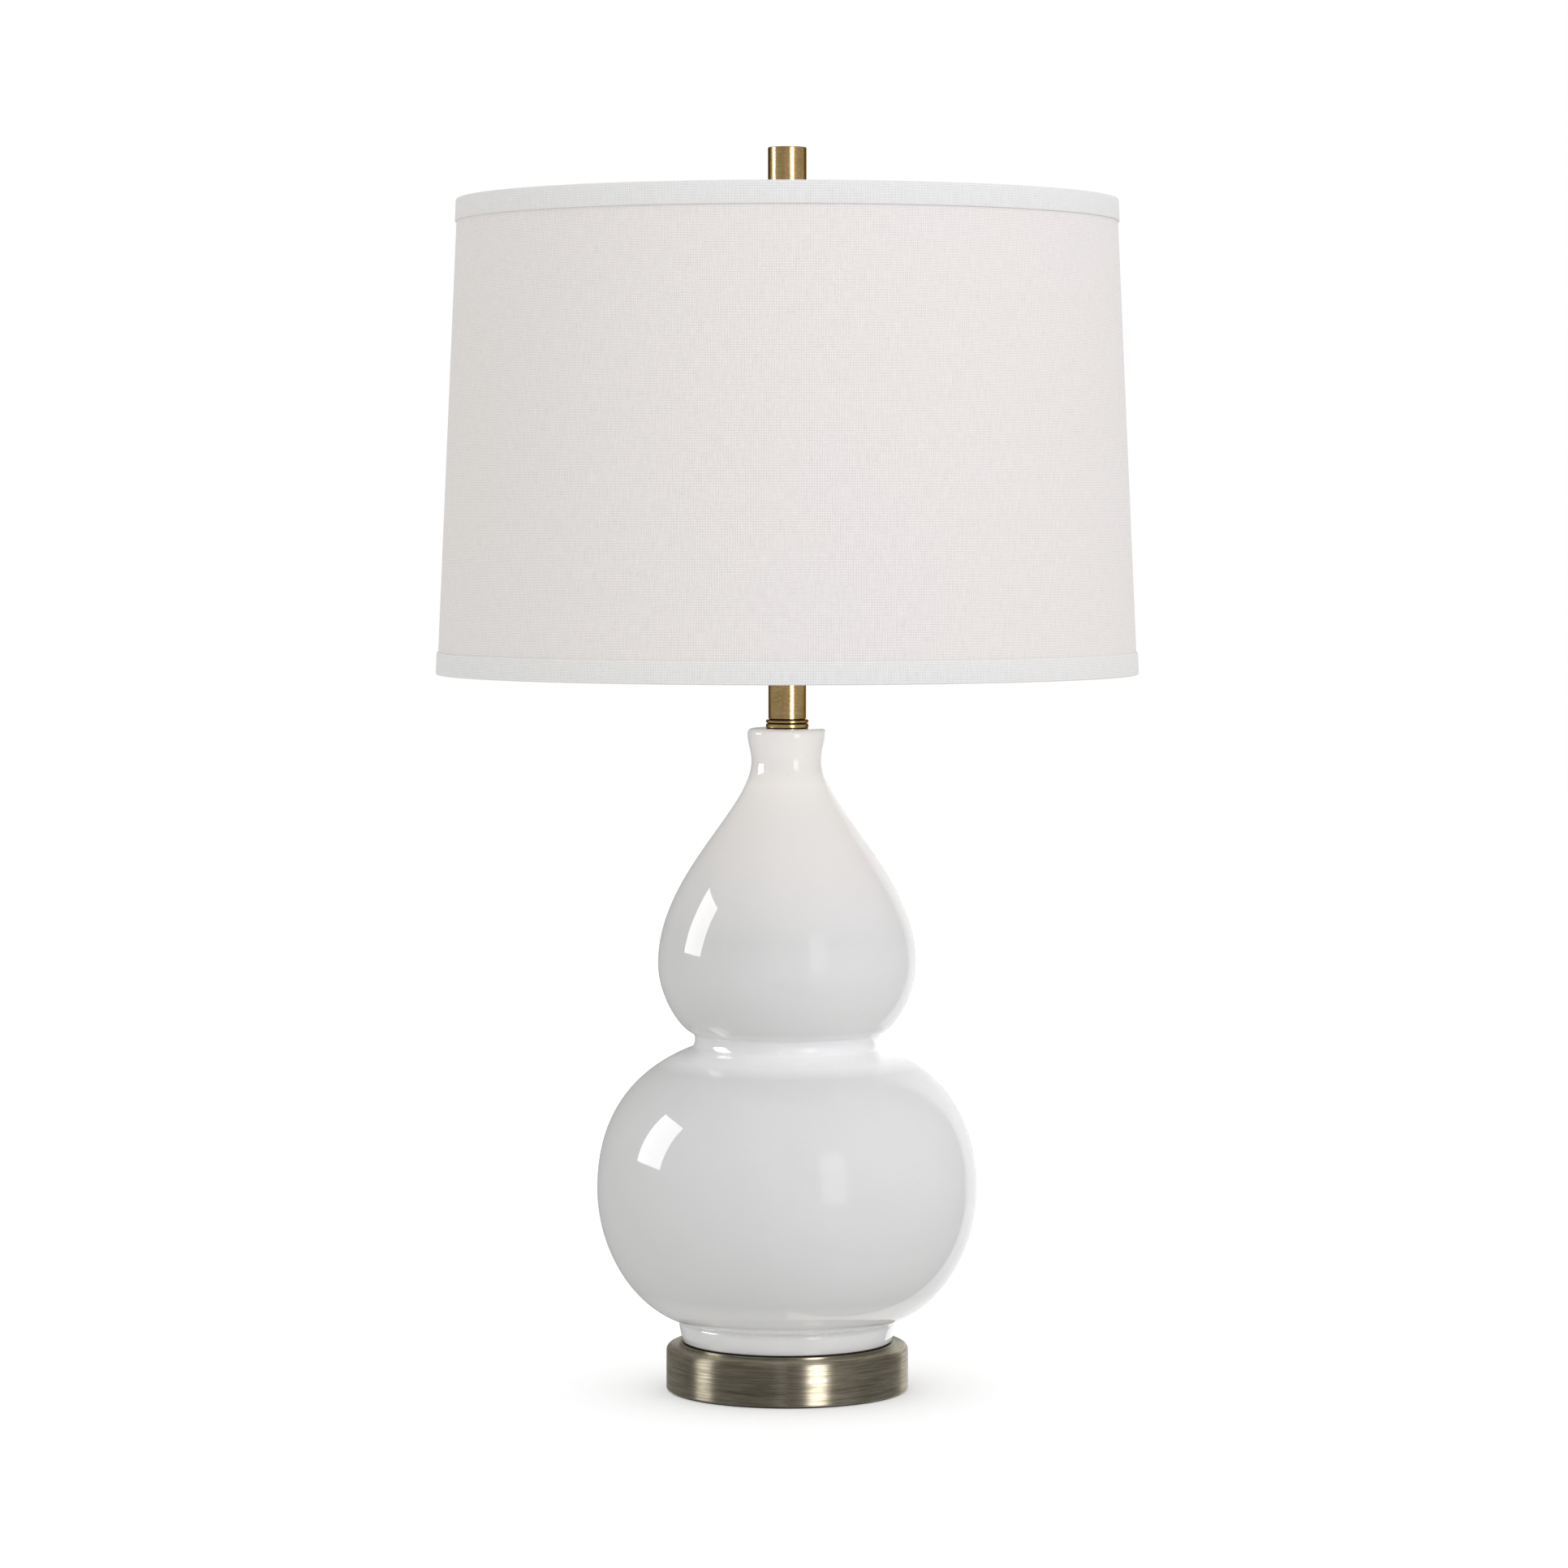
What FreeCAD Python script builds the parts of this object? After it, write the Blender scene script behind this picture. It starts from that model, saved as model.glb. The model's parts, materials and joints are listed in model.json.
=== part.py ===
import FreeCAD, Part
import math
import os
import types

import Sketcher

# A double gourd table lamp: a glazed ceramic body on a turned brass drum, with a brass neck,
# a lamp holder with a turn-knob switch, a lift-off harp and a tapered cloth drum shade.
# All lengths are millimetres. +Z is up, the table is at z = 0 and the lamp's axis is x = y = 0.
# The front is -Y. The harp stands in the XZ plane and the cord leaves the drum at the back, +Y.

Vector = FreeCAD.Vector
UP = Vector(0, 0, 1)
FULL_TURN = 360
QUARTER_TURN = 90
THROUGH = 2  # a cut this many radii long runs right through
HEXAGON = [math.radians(angle) for angle in range(0, FULL_TURN, 60)]
ROUND_HANDLE = 0.5523  # a curve with handles this long, in radii, is a quarter circle
SPLINE_POINTS = 25  # points through which the inside of the wall is drawn
SHEET_NAME = "Sizes"

SIZES = [
    # clearances
    ("thread_clearance", 0.05, "radial gap of a screwed or pressed joint"),
    ("slip_clearance", 0.1, "radial gap of a piece that turns or slides on another"),
    ("seat_gap", 0.3, "upright gap between a lifted or turning piece and its seat"),
    ("layer_gap", 0.05, "gap between the bonded layers of the shade"),
    # base
    ("felt_thickness", 2.5, "felt pad under the drum"),
    ("felt_clearance", 0.2, "felt pad to the inside of the drum"),
    ("drum_radius", 64.7, "drum, outside"),
    ("drum_height", 24.4, "table to the drum's flat top"),
    ("drum_wall", 1.2, "drum sheet"),
    ("drum_lift", 0.8, "table to the drum's lower rim"),
    ("drum_edge_round", 3.2, "drum's upper outside edge"),
    ("drum_rim_round", 0.8, "drum's lower outside edge"),
    ("seat_radius", 57.6, "raised seat on the drum"),
    ("seat_rise", 1.2, "raised seat above the drum's flat top"),
    ("pipe_hole_clearance", 0.6, "radial gap of the pipe in the drum and the weight"),
    ("weight_clearance", 1.5, "weight to the inside of the drum"),
    ("weight_thickness", 9.8, "iron weight"),
    ("weight_round", 2.5, "iron weight's upper edge"),
    ("washer_radius", 16.0, "bottom washer, outside"),
    ("washer_thickness", 1.5, "bottom washer"),
    ("nut_flats", 17.0, "bottom nut across its flats"),
    ("nut_thickness", 4.0, "bottom nut"),
    ("cord_height", 7.95, "table to the middle of the cord bushing"),
    ("cord_bore", 3.1, "bushing bore, radius"),
    ("bushing_neck", 4.4, "bushing where it passes the drum wall, radius"),
    ("bushing_flange", 6.2, "bushing's outer flange, radius"),
    ("bushing_flange_thickness", 2.0, "bushing's outer flange"),
    ("bushing_barb", 5.2, "bushing's inner barb, radius"),
    ("bushing_barb_thickness", 1.4, "bushing's inner barb"),
    ("bushing_play", 0.4, "bushing barb to the inside of the drum wall"),
    # ceramic body, heights from its own foot
    ("gasket_thickness", 0.6, "ring between the drum's seat and the foot"),
    ("gasket_width", 5.0, "the same ring, across"),
    ("gasket_inset", 0.7, "foot's lower edge to the ring's outer edge"),
    ("body_wall", 5.0, "ceramic wall"),
    ("foot_bore", 12.0, "hole in the ceramic floor, radius"),
    ("foot_bottom_radius", 56.1, "foot at its lower edge"),
    ("foot_top_radius", 58.0, "foot at its shoulder"),
    ("foot_height", 9.3, "foot, up to its shoulder"),
    ("foot_edge_round", 1.0, "foot's lower edge, softened over this length"),
    ("foot_shoulder_round", 1.2, "foot's shoulder, softened over this length"),
    ("groove_radius", 57.0, "groove between foot and belly"),
    ("groove_height", 11.0, "foot's lower edge to the groove"),
    ("underside_reach", 24.0, "fullness of the belly beside the groove, outwards"),
    ("underside_rise", 6.5, "the same, upwards"),
    ("belly_radius", 101.75, "lower bulb"),
    ("belly_height", 81.8, "foot's lower edge to the widest ring of the lower bulb"),
    ("belly_fullness_below", 34.6, "fullness of the lower bulb under its widest ring"),
    ("belly_fullness_above", 42.7, "fullness of the lower bulb over its widest ring"),
    ("shoulder_reach", 27.0, "fullness of the lower bulb beside the crease, outwards"),
    ("shoulder_fall", 10.4, "the same, downwards"),
    ("crease_low_radius", 51.5, "lower edge of the crease"),
    ("crease_low_height", 156.6, "foot's lower edge to the lower edge of the crease"),
    ("crease_high_radius", 51.0, "upper edge of the crease"),
    ("crease_high_height", 164.7, "foot's lower edge to the upper edge of the crease"),
    ("crease_reach", 2.6, "softness of the crease"),
    ("hip_reach", 8.4, "fullness of the upper bulb beside the crease, outwards"),
    ("hip_rise", 3.9, "the same, upwards"),
    ("bulb_radius", 69.25, "upper bulb"),
    ("bulb_height", 201.8, "foot's lower edge to the widest ring of the upper bulb"),
    ("bulb_fullness_below", 15.4, "fullness of the upper bulb under its widest ring"),
    ("bulb_fullness_above", 47.6, "fullness of the upper bulb over its widest ring"),
    ("waist_radius", 19.1, "ceramic neck at its waist"),
    ("waist_below_lip", 15.0, "widest ring of the lip to the waist"),
    ("waist_softness", 25.1, "length over which the waist draws in"),
    ("lip_radius", 21.2, "lip of the neck"),
    ("lip_flare", 6.0, "length over which the lip flares"),
    ("lip_round", 2.8, "lip's upper edge"),
    ("gourd_height", 327.6, "foot's lower edge to the top of the lip"),
    ("mouth_bore", 6.5, "hole in the ceramic top, radius"),
    # neck
    ("pipe_radius", 5.0, "threaded pipe, outside"),
    ("pipe_bore", 3.3, "threaded pipe, inside radius"),
    ("pipe_below_nut", 2.2, "pipe that shows under the bottom nut"),
    ("pipe_in_cap", 6.4, "pipe inside the holder's cap"),
    ("collar_radius", 11.4, "beaded collar, outside"),
    ("collar_groove", 10.4, "collar between its two beads"),
    ("collar_groove_height", 0.3, "gap between the two beads"),
    ("collar_height", 4.6, "collar"),
    ("collar_lower_bead", 2.5, "collar's lower bead, high"),
    ("collar_bead_round", 0.8, "collar's bead edges"),
    ("neck_radius", 10.1, "brass neck tube, outside"),
    ("neck_wall", 1.0, "brass neck tube"),
    ("neck_length", 37.6, "brass neck tube"),
    ("neck_foot_step", 0.5, "relief ring at the neck tube's lower end"),
    ("check_ring_radius", 12.2, "check ring on the neck tube, outside"),
    ("check_ring_thickness", 1.6, "check ring"),
    # harp saddle
    ("saddle_sheet", 1.6, "saddle strip"),
    ("saddle_width", 11.0, "saddle strip, front to back"),
    ("saddle_half_span", 27.0, "axis to the middle of a saddle arm"),
    ("saddle_bend", 5.0, "outside bend of the saddle strip"),
    ("saddle_hub_radius", 10.5, "round middle of the saddle"),
    ("saddle_arm_height", 11.4, "saddle's underside to the top of an arm"),
    ("saddle_post_length", 8.0, "pin on top of an arm"),
    # lamp holder
    ("cap_neck_radius", 7.6, "holder cap where it screws on the pipe"),
    ("cap_neck_height", 7.4, "the same, high"),
    ("cap_radius", 16.2, "holder cap, outside"),
    ("cap_cone_height", 7.0, "holder cap's sloping part"),
    ("cap_height", 22.0, "holder cap, over all"),
    ("cap_wall", 0.8, "holder cap sheet"),
    ("cap_round", 3.0, "holder cap's bends"),
    ("set_screw_radius", 1.6, "cap set screw"),
    ("set_screw_height", 3.6, "cap's lower end to the set screw"),
    ("set_screw_head", 2.4, "set screw head, radius"),
    ("set_screw_head_length", 1.4, "set screw head"),
    ("shell_wall", 0.6, "holder shell sheet"),
    ("shell_start", 17.0, "cap's lower end to the shell's lower end"),
    ("shell_length", 42.0, "holder shell"),
    ("shell_rim", 0.8, "rolled rim of the shell, proud"),
    ("liner_wall", 0.7, "fibre liner in the shell"),
    ("liner_setback", 1.5, "shell's top to the liner's top"),
    ("block_radius", 13.0, "moulded block in the holder"),
    ("block_start", 17.5, "cap's lower end to the block's underside"),
    ("block_flange_height", 3.0, "block's flange that fits the cap"),
    ("block_height", 17.0, "moulded block"),
    ("screw_shell_bore", 13.35, "threaded sleeve for the bulb, inside radius"),
    ("screw_shell_wall", 0.4, "threaded sleeve"),
    ("screw_shell_length", 24.0, "threaded sleeve"),
    ("screw_shell_floor_hole", 7.0, "hole in the sleeve's floor, radius"),
    ("contact_radius", 3.0, "centre contact, radius"),
    ("contact_height", 3.2, "centre contact above the block"),
    ("terminal_radius", 2.8, "terminal screw head"),
    ("terminal_length", 1.7, "terminal screw head"),
    ("terminal_height", 8.0, "block's underside to the terminal screws"),
    ("terminal_count", 2, "terminal screws"),
    ("switch_height", 11.0, "block's underside to the switch shaft"),
    ("shaft_radius", 1.9, "switch shaft"),
    ("shaft_in_block", 8.0, "switch shaft inside the block"),
    ("shaft_in_knob", 8.0, "switch shaft inside the knob"),
    ("switch_window", 3.4, "window for the switch in shell and liner, radius"),
    ("knob_gap", 2.0, "shell to the knob"),
    ("knob_radius", 5.2, "switch knob"),
    ("knob_length", 15.0, "switch knob"),
    ("knob_round", 1.0, "switch knob's edges"),
    ("knob_groove", 0.55, "grip groove of the knob, radius"),
    ("knob_groove_count", 12, "grip grooves round the knob"),
    # light bulb, heights from its centre contact
    ("tip_radius", 4.6, "bulb's centre contact"),
    ("tip_height", 1.2, "the same, high"),
    ("insulator_radius", 8.4, "black glass ring round the contact"),
    ("insulator_height", 4.2, "centre contact's underside to the top of that ring"),
    ("bulb_cap_radius", 13.15, "bulb's screw cap"),
    ("bulb_cap_wall", 0.4, "bulb's screw cap sheet"),
    ("bulb_cap_top", 24.5, "bulb's contact to the top of its cap"),
    ("glass_neck_radius", 12.4, "glass inside the cap"),
    ("glass_start", 19.0, "bulb's contact to the glass"),
    ("glass_wall", 0.8, "bulb glass"),
    ("glass_radius", 30.0, "bulb glass at its widest"),
    ("glass_wide_height", 76.0, "bulb's contact to the widest ring"),
    ("glass_top", 106.0, "bulb's contact to the top of the glass"),
    ("glass_neck_fullness", 24.0, "straightness of the glass neck"),
    ("glass_side_fullness", 24.0, "fullness of the glass under its widest ring"),
    ("glass_top_fullness", 16.5, "roundness of the glass over its widest ring"),
    # harp
    ("wire_radius", 1.75, "harp wire"),
    ("harp_height", 201.3, "harp's leg ends to the middle of its top wire"),
    ("harp_half_width", 58.0, "axis to the middle of a harp leg at its widest"),
    ("harp_leg_straight", 24.0, "leg ends to the outward bend's corner"),
    ("harp_leg_spread", 92.0, "leg ends to the corner where the legs are at their widest"),
    ("harp_low_bend", 24.0, "outward bend, radius"),
    ("harp_high_bend", 40.0, "bend back to upright, radius"),
    ("harp_arch", 49.0, "arch at the top, radius"),
    ("ferrule_radius", 3.3, "sleeve that locks a leg to the saddle, outside"),
    ("ferrule_length", 14.5, "the same sleeve"),
    ("ferrule_rim", 0.5, "sleeve's rolled ends, proud"),
    ("ferrule_rim_height", 1.6, "sleeve's rolled ends, high"),
    ("stud_block_radius", 4.4, "block that holds the stud on the top wire"),
    ("stud_block_below", 3.6, "top wire's middle to the underside of that block"),
    ("stud_flange_radius", 7.0, "flange that carries the shade"),
    ("stud_flange_thickness", 1.8, "the same flange"),
    ("stud_rise", 6.3, "top wire's middle to the top of the flange"),
    ("stud_radius", 3.1, "stud for the finial"),
    ("stud_length", 12.0, "stud above its flange"),
    # shade
    ("hub_radius", 12.5, "spider's hub, outside"),
    ("hub_thickness", 1.6, "spider's hub"),
    ("spider_arm_radius", 1.1, "spider arm wire"),
    ("spider_arm_count", 3, "spider arms"),
    ("spider_arm_root", 1.5, "arm inside the hub's edge"),
    ("spider_arm_level", 6.0, "level part of an arm beyond the hub"),
    ("spider_bend", 12.0, "bend of an arm, radius"),
    ("ring_wire", 1.2, "wire of the shade rings, radius"),
    ("shade_recess", 10.45, "middle of the hub to the shade's upper rim"),
    ("shade_height", 253.5, "shade, rim to rim"),
    ("shade_top_radius", 176.4, "cloth at the upper rim"),
    ("shade_flare", 10.7, "lower rim wider than the upper rim, radius"),
    ("cloth_thickness", 0.6, "shade cloth"),
    ("shade_liner_thickness", 0.5, "stiff lining behind the cloth"),
    ("trim_thickness", 0.8, "tape over the rims"),
    ("trim_width", 11.8, "tape outside the shade"),
    ("trim_return", 9.0, "tape inside the shade"),
    ("trim_round", 0.7, "tape's fold"),
    ("arm_slot_clearance", 0.5, "slot in the upper tape round an arm"),
    # finial
    ("finial_radius", 10.35, "finial"),
    ("finial_height", 37.8, "finial"),
    ("finial_edge", 0.6, "finial's edges"),
    ("finial_thread_spare", 3.0, "hole in the finial beyond the stud's end"),
]


# ---------------------------------------------------------------------------------------------
# Sizes that carry their own expression


class Size:
    """A length with its value and the sheet expression that it comes from."""

    def __init__(self, value, text):
        self.value = value
        self.text = text

    def __add__(self, other):
        other = as_size(other)
        return Size(self.value + other.value, f"({self.text} + {other.text})")

    def __sub__(self, other):
        other = as_size(other)
        return Size(self.value - other.value, f"({self.text} - {other.text})")

    def __mul__(self, other):
        other = as_size(other)
        return Size(self.value * other.value, f"({self.text} * {other.text})")

    def __truediv__(self, other):
        other = as_size(other)
        return Size(self.value / other.value, f"({self.text} / {other.text})")

    def __neg__(self):
        return Size(-self.value, f"(0 - {self.text})")

    def __radd__(self, other):
        return as_size(other) + self

    def __rsub__(self, other):
        return as_size(other) - self

    def __rmul__(self, other):
        return as_size(other) * self


def as_size(term):
    """The term itself if it is a Size, or a plain number as one."""
    if isinstance(term, Size):
        return term
    return Size(float(term), f"{float(term):.9f}")


def bind(owner, target, size):
    """Ties one property or constraint to the sheet."""
    if SHEET_NAME in size.text:
        owner.setExpression(target, size.text)


# ---------------------------------------------------------------------------------------------
# Drawing and building helpers

doc = FreeCAD.newDocument("double_gourd_lamp")
sheet = doc.addObject("Spreadsheet::Sheet", SHEET_NAME)
for row, (alias, value, note) in enumerate(SIZES, start=1):
    sheet.set(f"A{row}", alias)
    sheet.set(f"B{row}", str(value))
    sheet.set(f"C{row}", note)
    sheet.setAlias(f"B{row}", alias)
doc.recompute()

s = types.SimpleNamespace()
for alias, value, note in SIZES:
    setattr(s, alias, Size(float(sheet.get(alias)), f"{SHEET_NAME}.{alias}"))

parts = []


def new_body(name):
    """An empty body for one sub-part."""
    body = doc.addObject("PartDesign::Body", name)
    body.Label = name
    parts.append(body)
    return body


def new_sketch(body, name, plane="XZ_Plane", offset=None):
    """A sketch on one of the body's own origin planes, moved along its normal by offset."""
    sketch = body.newObject("Sketcher::SketchObject", name)
    support = next(feature for feature in body.Origin.OriginFeatures if feature.Role == plane)
    sketch.AttachmentSupport = [(support, "")]
    sketch.MapMode = "FlatFace"
    if offset is not None:
        bind(sketch, "AttachmentOffset.Base.z", offset)
    return sketch


def place_point(sketch, geometry, position, x, y):
    """Holds a point of the sketch at x, y."""
    for kind, size in (("DistanceX", x), ("DistanceY", y)):
        constraint = Sketcher.Constraint(kind, -1, 1, geometry, position, size.value)
        bind(sketch, f"Constraints[{sketch.addConstraint(constraint)}]", size)


def draw_circle(sketch, x, y, radius):
    """A circle with its middle at x, y."""
    x, y, radius = as_size(x), as_size(y), as_size(radius)
    circle = sketch.addGeometry(Part.Circle(Vector(x.value, y.value, 0), UP, radius.value))
    place_point(sketch, circle, 3, x, y)
    constraint = Sketcher.Constraint("Radius", circle, radius.value)
    bind(sketch, f"Constraints[{sketch.addConstraint(constraint)}]", radius)


def round_corner(sketch, before, after, corner, stops):
    """An arc that rounds the corner between two lines which stop at its two ends."""
    x, y, radius = corner
    here = Vector(x.value, y.value, 0)
    middle = (stops[0] - here).normalize() + (stops[1] - here).normalize()
    middle.normalize()
    half_angle = middle.getAngle(stops[0] - here)
    centre = here + middle * (radius.value / math.sin(half_angle))
    angles = [math.atan2(stop.y - centre.y, stop.x - centre.x) for stop in stops]
    turns_left = ((here - stops[0]).cross(stops[1] - here)).z > 0
    arrives, leaves = (1, 2) if turns_left else (2, 1)
    first, last = angles if turns_left else reversed(angles)
    circle = Part.Circle(centre, UP, radius.value)
    arc = sketch.addGeometry(Part.ArcOfCircle(circle, first, last))
    sketch.addConstraint(Sketcher.Constraint("Tangent", before, 2, arc, arrives))
    sketch.addConstraint(Sketcher.Constraint("Tangent", arc, leaves, after, 1))
    constraint = Sketcher.Constraint("Radius", arc, radius.value)
    bind(sketch, f"Constraints[{sketch.addConstraint(constraint)}]", radius)
    point = sketch.addGeometry(Part.Point(here), True)
    place_point(sketch, point, 1, x, y)
    sketch.addConstraint(Sketcher.Constraint("PointOnObject", point, 1, before))
    sketch.addConstraint(Sketcher.Constraint("PointOnObject", point, 1, after))


def draw(sketch, corners, closed=True):
    """Straight lines through corners, each (x, y) or (x, y, radius of its rounding)."""
    corners = [tuple(as_size(term) for term in corner) for corner in corners]
    points = [Vector(corner[0].value, corner[1].value, 0) for corner in corners]
    count = len(points)
    stops = []
    for i, corner in enumerate(corners):
        here = points[i]
        reach = 0
        back = (points[i - 1] - here).normalize()
        ahead = (points[(i + 1) % count] - here).normalize()
        if len(corner) == 3:
            reach = corner[2].value / math.tan(back.getAngle(ahead) / 2)
        stops.append((here + back * reach, here + ahead * reach))
    side_count = count if closed else count - 1
    sides = [sketch.addGeometry(Part.LineSegment(stops[i][1], stops[(i + 1) % count][0]))
             for i in range(side_count)]
    for i, corner in enumerate(corners):
        if not closed and i == 0:
            place_point(sketch, sides[0], 1, *corner)
        elif not closed and i == count - 1:
            place_point(sketch, sides[-1], 2, *corner)
        elif len(corner) == 3:
            round_corner(sketch, sides[i - 1], sides[i], corner, stops[i])
        else:
            sketch.addConstraint(Sketcher.Constraint("Coincident", sides[i - 1], 2, sides[i], 1))
            place_point(sketch, sides[i], 1, *corner)


def revolve(body, name, sketch):
    """Turns a drawn half-section once round the body's upright axis."""
    feature = body.newObject("PartDesign::Revolution", name)
    feature.Profile = sketch
    feature.ReferenceAxis = (sketch, ["V_Axis"])
    feature.Angle = FULL_TURN


def turn(body, name, corners):
    """Draws a half-section and turns it."""
    sketch = new_sketch(body, f"{name}_section")
    draw(sketch, corners)
    revolve(body, name, sketch)


def turned(name, corners):
    """A sub-part turned from one half-section."""
    body = new_body(name)
    turn(body, f"{name}_turned", corners)
    return body


def tube(name, bore, radius, bottom, top):
    """A plain ring or tube."""
    return turned(name, [(bore, bottom), (radius, bottom), (radius, top), (bore, top)])


def pad(body, name, sketch, length, midplane=False):
    """Raises the sketch along its normal."""
    feature = body.newObject("PartDesign::Pad", name)
    feature.Profile = sketch
    feature.Midplane = midplane
    bind(feature, "Length", as_size(length))
    return feature


def cut(body, name, sketch, length, backwards=False, midplane=False):
    """Cuts the sketch into the body: against its normal, along it if backwards, or both ways."""
    feature = body.newObject("PartDesign::Pocket", name)
    feature.Profile = sketch
    feature.Reversed = backwards
    feature.Midplane = midplane
    bind(feature, "Length", as_size(length))
    return feature


def sweep(body, name, section, path):
    """Runs the section along the path."""
    feature = body.newObject("PartDesign::AdditivePipe", name)
    feature.Profile = section
    feature.Spine = path
    return feature


def repeat(body, name, feature, count):
    """Repeats a feature evenly round the body's upright axis."""
    upright = next(axis for axis in body.Origin.OriginFeatures if axis.Role == "Z_Axis")
    pattern = body.newObject("PartDesign::PolarPattern", name)
    pattern.Originals = [feature]
    pattern.Axis = (upright, [""])
    pattern.Angle = FULL_TURN
    bind(pattern, "Occurrences", count)
    body.Tip = pattern


def stand(body, x=0, y=0, z=0, turn_axis=UP, turn_degrees=0):
    """Places a body that was drawn about its own origin."""
    places = {"x": as_size(x), "y": as_size(y), "z": as_size(z)}
    base = Vector(*(size.value for size in places.values()))
    body.Placement = FreeCAD.Placement(base, FreeCAD.Rotation(turn_axis, turn_degrees))
    for target, size in places.items():
        bind(body, f"Placement.Base.{target}", size)


def hole_towards(body, name, plane, x, y, radius, reach, backwards):
    """A round hole from the upright axis outwards, square to the plane."""
    sketch = new_sketch(body, f"{name}_circle", plane)
    draw_circle(sketch, x, y, radius)
    return cut(body, name, sketch, reach, backwards)


# ---------------------------------------------------------------------------------------------
# Heights that stack up from the table

seat_z = s.drum_height + s.seat_rise
foot_z = seat_z + s.gasket_thickness
mouth_z = foot_z + s.gourd_height
collar_top = mouth_z + s.collar_height
neck_top = collar_top + s.neck_length
saddle_z = neck_top + s.check_ring_thickness
cap_z = saddle_z + s.saddle_sheet
arm_top = saddle_z + s.saddle_arm_height
post_top = arm_top + s.saddle_post_length
leg_z = post_top + s.seat_gap
harp_top = leg_z + s.harp_height
flange_top = harp_top + s.stud_rise
hub_z = flange_top + s.seat_gap
hub_middle = hub_z + s.hub_thickness / 2
finial_z = hub_z + s.hub_thickness + s.seat_gap
shade_top = hub_middle + s.shade_recess
shade_bottom = shade_top - s.shade_height
block_z = cap_z + s.block_start
block_top = block_z + s.block_height
switch_z = block_z + s.switch_height
tip_z = block_top + s.contact_height
pipe_top = cap_z + s.pipe_in_cap
drum_inside = s.drum_radius - s.drum_wall
pipe_hole = s.pipe_radius + s.pipe_hole_clearance
screwed = s.pipe_radius + s.thread_clearance


# ---------------------------------------------------------------------------------------------
# Base: felt pad, brass drum, iron weight, the nut that draws the lamp together, cord bushing

weight_top = s.drum_height - s.drum_wall
weight_z = weight_top - s.weight_thickness
washer_z = weight_z - s.washer_thickness
nut_z = washer_z - s.nut_thickness
pipe_z = nut_z - s.pipe_below_nut

felt_radius = drum_inside - s.felt_clearance
turned("felt_pad", [
    (0, 0),
    (felt_radius, 0),
    (felt_radius, s.felt_thickness),
    (0, s.felt_thickness),
])

drum = turned("base_drum", [
    (s.drum_radius, s.drum_lift, s.drum_rim_round),
    (s.drum_radius, s.drum_height, s.drum_edge_round),
    (s.seat_radius, s.drum_height),
    (s.seat_radius, seat_z),
    (pipe_hole, seat_z),
    (pipe_hole, seat_z - s.drum_wall),
    (s.seat_radius - s.drum_wall, seat_z - s.drum_wall),
    (s.seat_radius - s.drum_wall, weight_top),
    (drum_inside, weight_top, s.drum_edge_round - s.drum_wall),
    (drum_inside, s.drum_lift),
])
bushing_hole = s.bushing_neck + s.slip_clearance
hole_towards(drum, "cord_hole", "XZ_Plane", 0, s.cord_height, bushing_hole,
             s.drum_radius + s.drum_wall, backwards=False)

weight_radius = drum_inside - s.weight_clearance
turned("base_weight", [
    (pipe_hole, weight_z),
    (weight_radius, weight_z),
    (weight_radius, weight_top, s.weight_round),
    (pipe_hole, weight_top),
])
tube("bottom_washer", pipe_hole, s.washer_radius, washer_z, weight_z)

nut = new_body("bottom_nut")
nut_sketch = new_sketch(nut, "nut_outline", "XY_Plane", nut_z)
nut_reach = s.nut_flats / math.sqrt(3)
draw(nut_sketch, [(nut_reach * math.cos(angle), nut_reach * math.sin(angle)) for angle in HEXAGON])
draw_circle(nut_sketch, 0, 0, screwed)
pad(nut, "nut_block", nut_sketch, s.nut_thickness)

# The bushing is drawn about its own bore: z = 0 is the drum's outside, +z points out of the drum.
barb_top = -s.drum_wall - s.bushing_play
barb_bottom = barb_top - s.bushing_barb_thickness
flange_bottom = s.layer_gap
bushing = turned("cord_bushing", [
    (s.cord_bore, barb_bottom),
    (s.bushing_barb, barb_bottom),
    (s.bushing_barb, barb_top),
    (s.bushing_neck, barb_top),
    (s.bushing_neck, flange_bottom),
    (s.bushing_flange, flange_bottom),
    (s.bushing_flange, flange_bottom + s.bushing_flange_thickness, s.bushing_flange_thickness / 2),
    (s.cord_bore, flange_bottom + s.bushing_flange_thickness),
])
stand(bushing, y=s.drum_radius, z=s.cord_height, turn_axis=Vector(1, 0, 0), turn_degrees=-QUARTER_TURN)


# ---------------------------------------------------------------------------------------------
# Ceramic body: one curve for each bulb and for the neck, with a wall of even thickness


def curve(*poles):
    """A smooth curve from the first pole to the last, drawn towards the poles between them."""
    bezier = Part.BezierCurve()
    bezier.setPoles([Vector(radius.value, 0, height.value) for radius, height in poles])
    return bezier.toShape()


def straight(start, end):
    """A straight stretch of an outline."""
    ends = [Vector(as_size(radius).value, 0, as_size(height).value) for radius, height in (start, end)]
    return Part.LineSegment(*ends).toShape()


def as_spline(edge):
    """The same stretch of outline as one smooth curve that a STEP file can hold."""
    if edge.Curve.TypeId != "Part::GeomOffsetCurve":
        return edge
    spline = Part.BSplineCurve()
    spline.interpolate(edge.discretize(SPLINE_POINTS))
    return spline.toShape()


def blown_shell(name, edges, wall):
    """A hollow turned shape: the outline with an even wall inside it."""
    band = Part.Wire(edges).makeOffset2D(wall.value, 0, True, True, False)
    outline = [as_spline(edge) for edge in band.Faces[0].OuterWire.OrderedEdges]
    section = Part.Face(Part.Wire(Part.sortEdges(outline)[0]))
    shell = doc.addObject("Part::Feature", name)
    shell.Shape = section.revolve(Vector(0, 0, 0), UP, FULL_TURN)
    shell.Label = name
    parts.append(shell)


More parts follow.
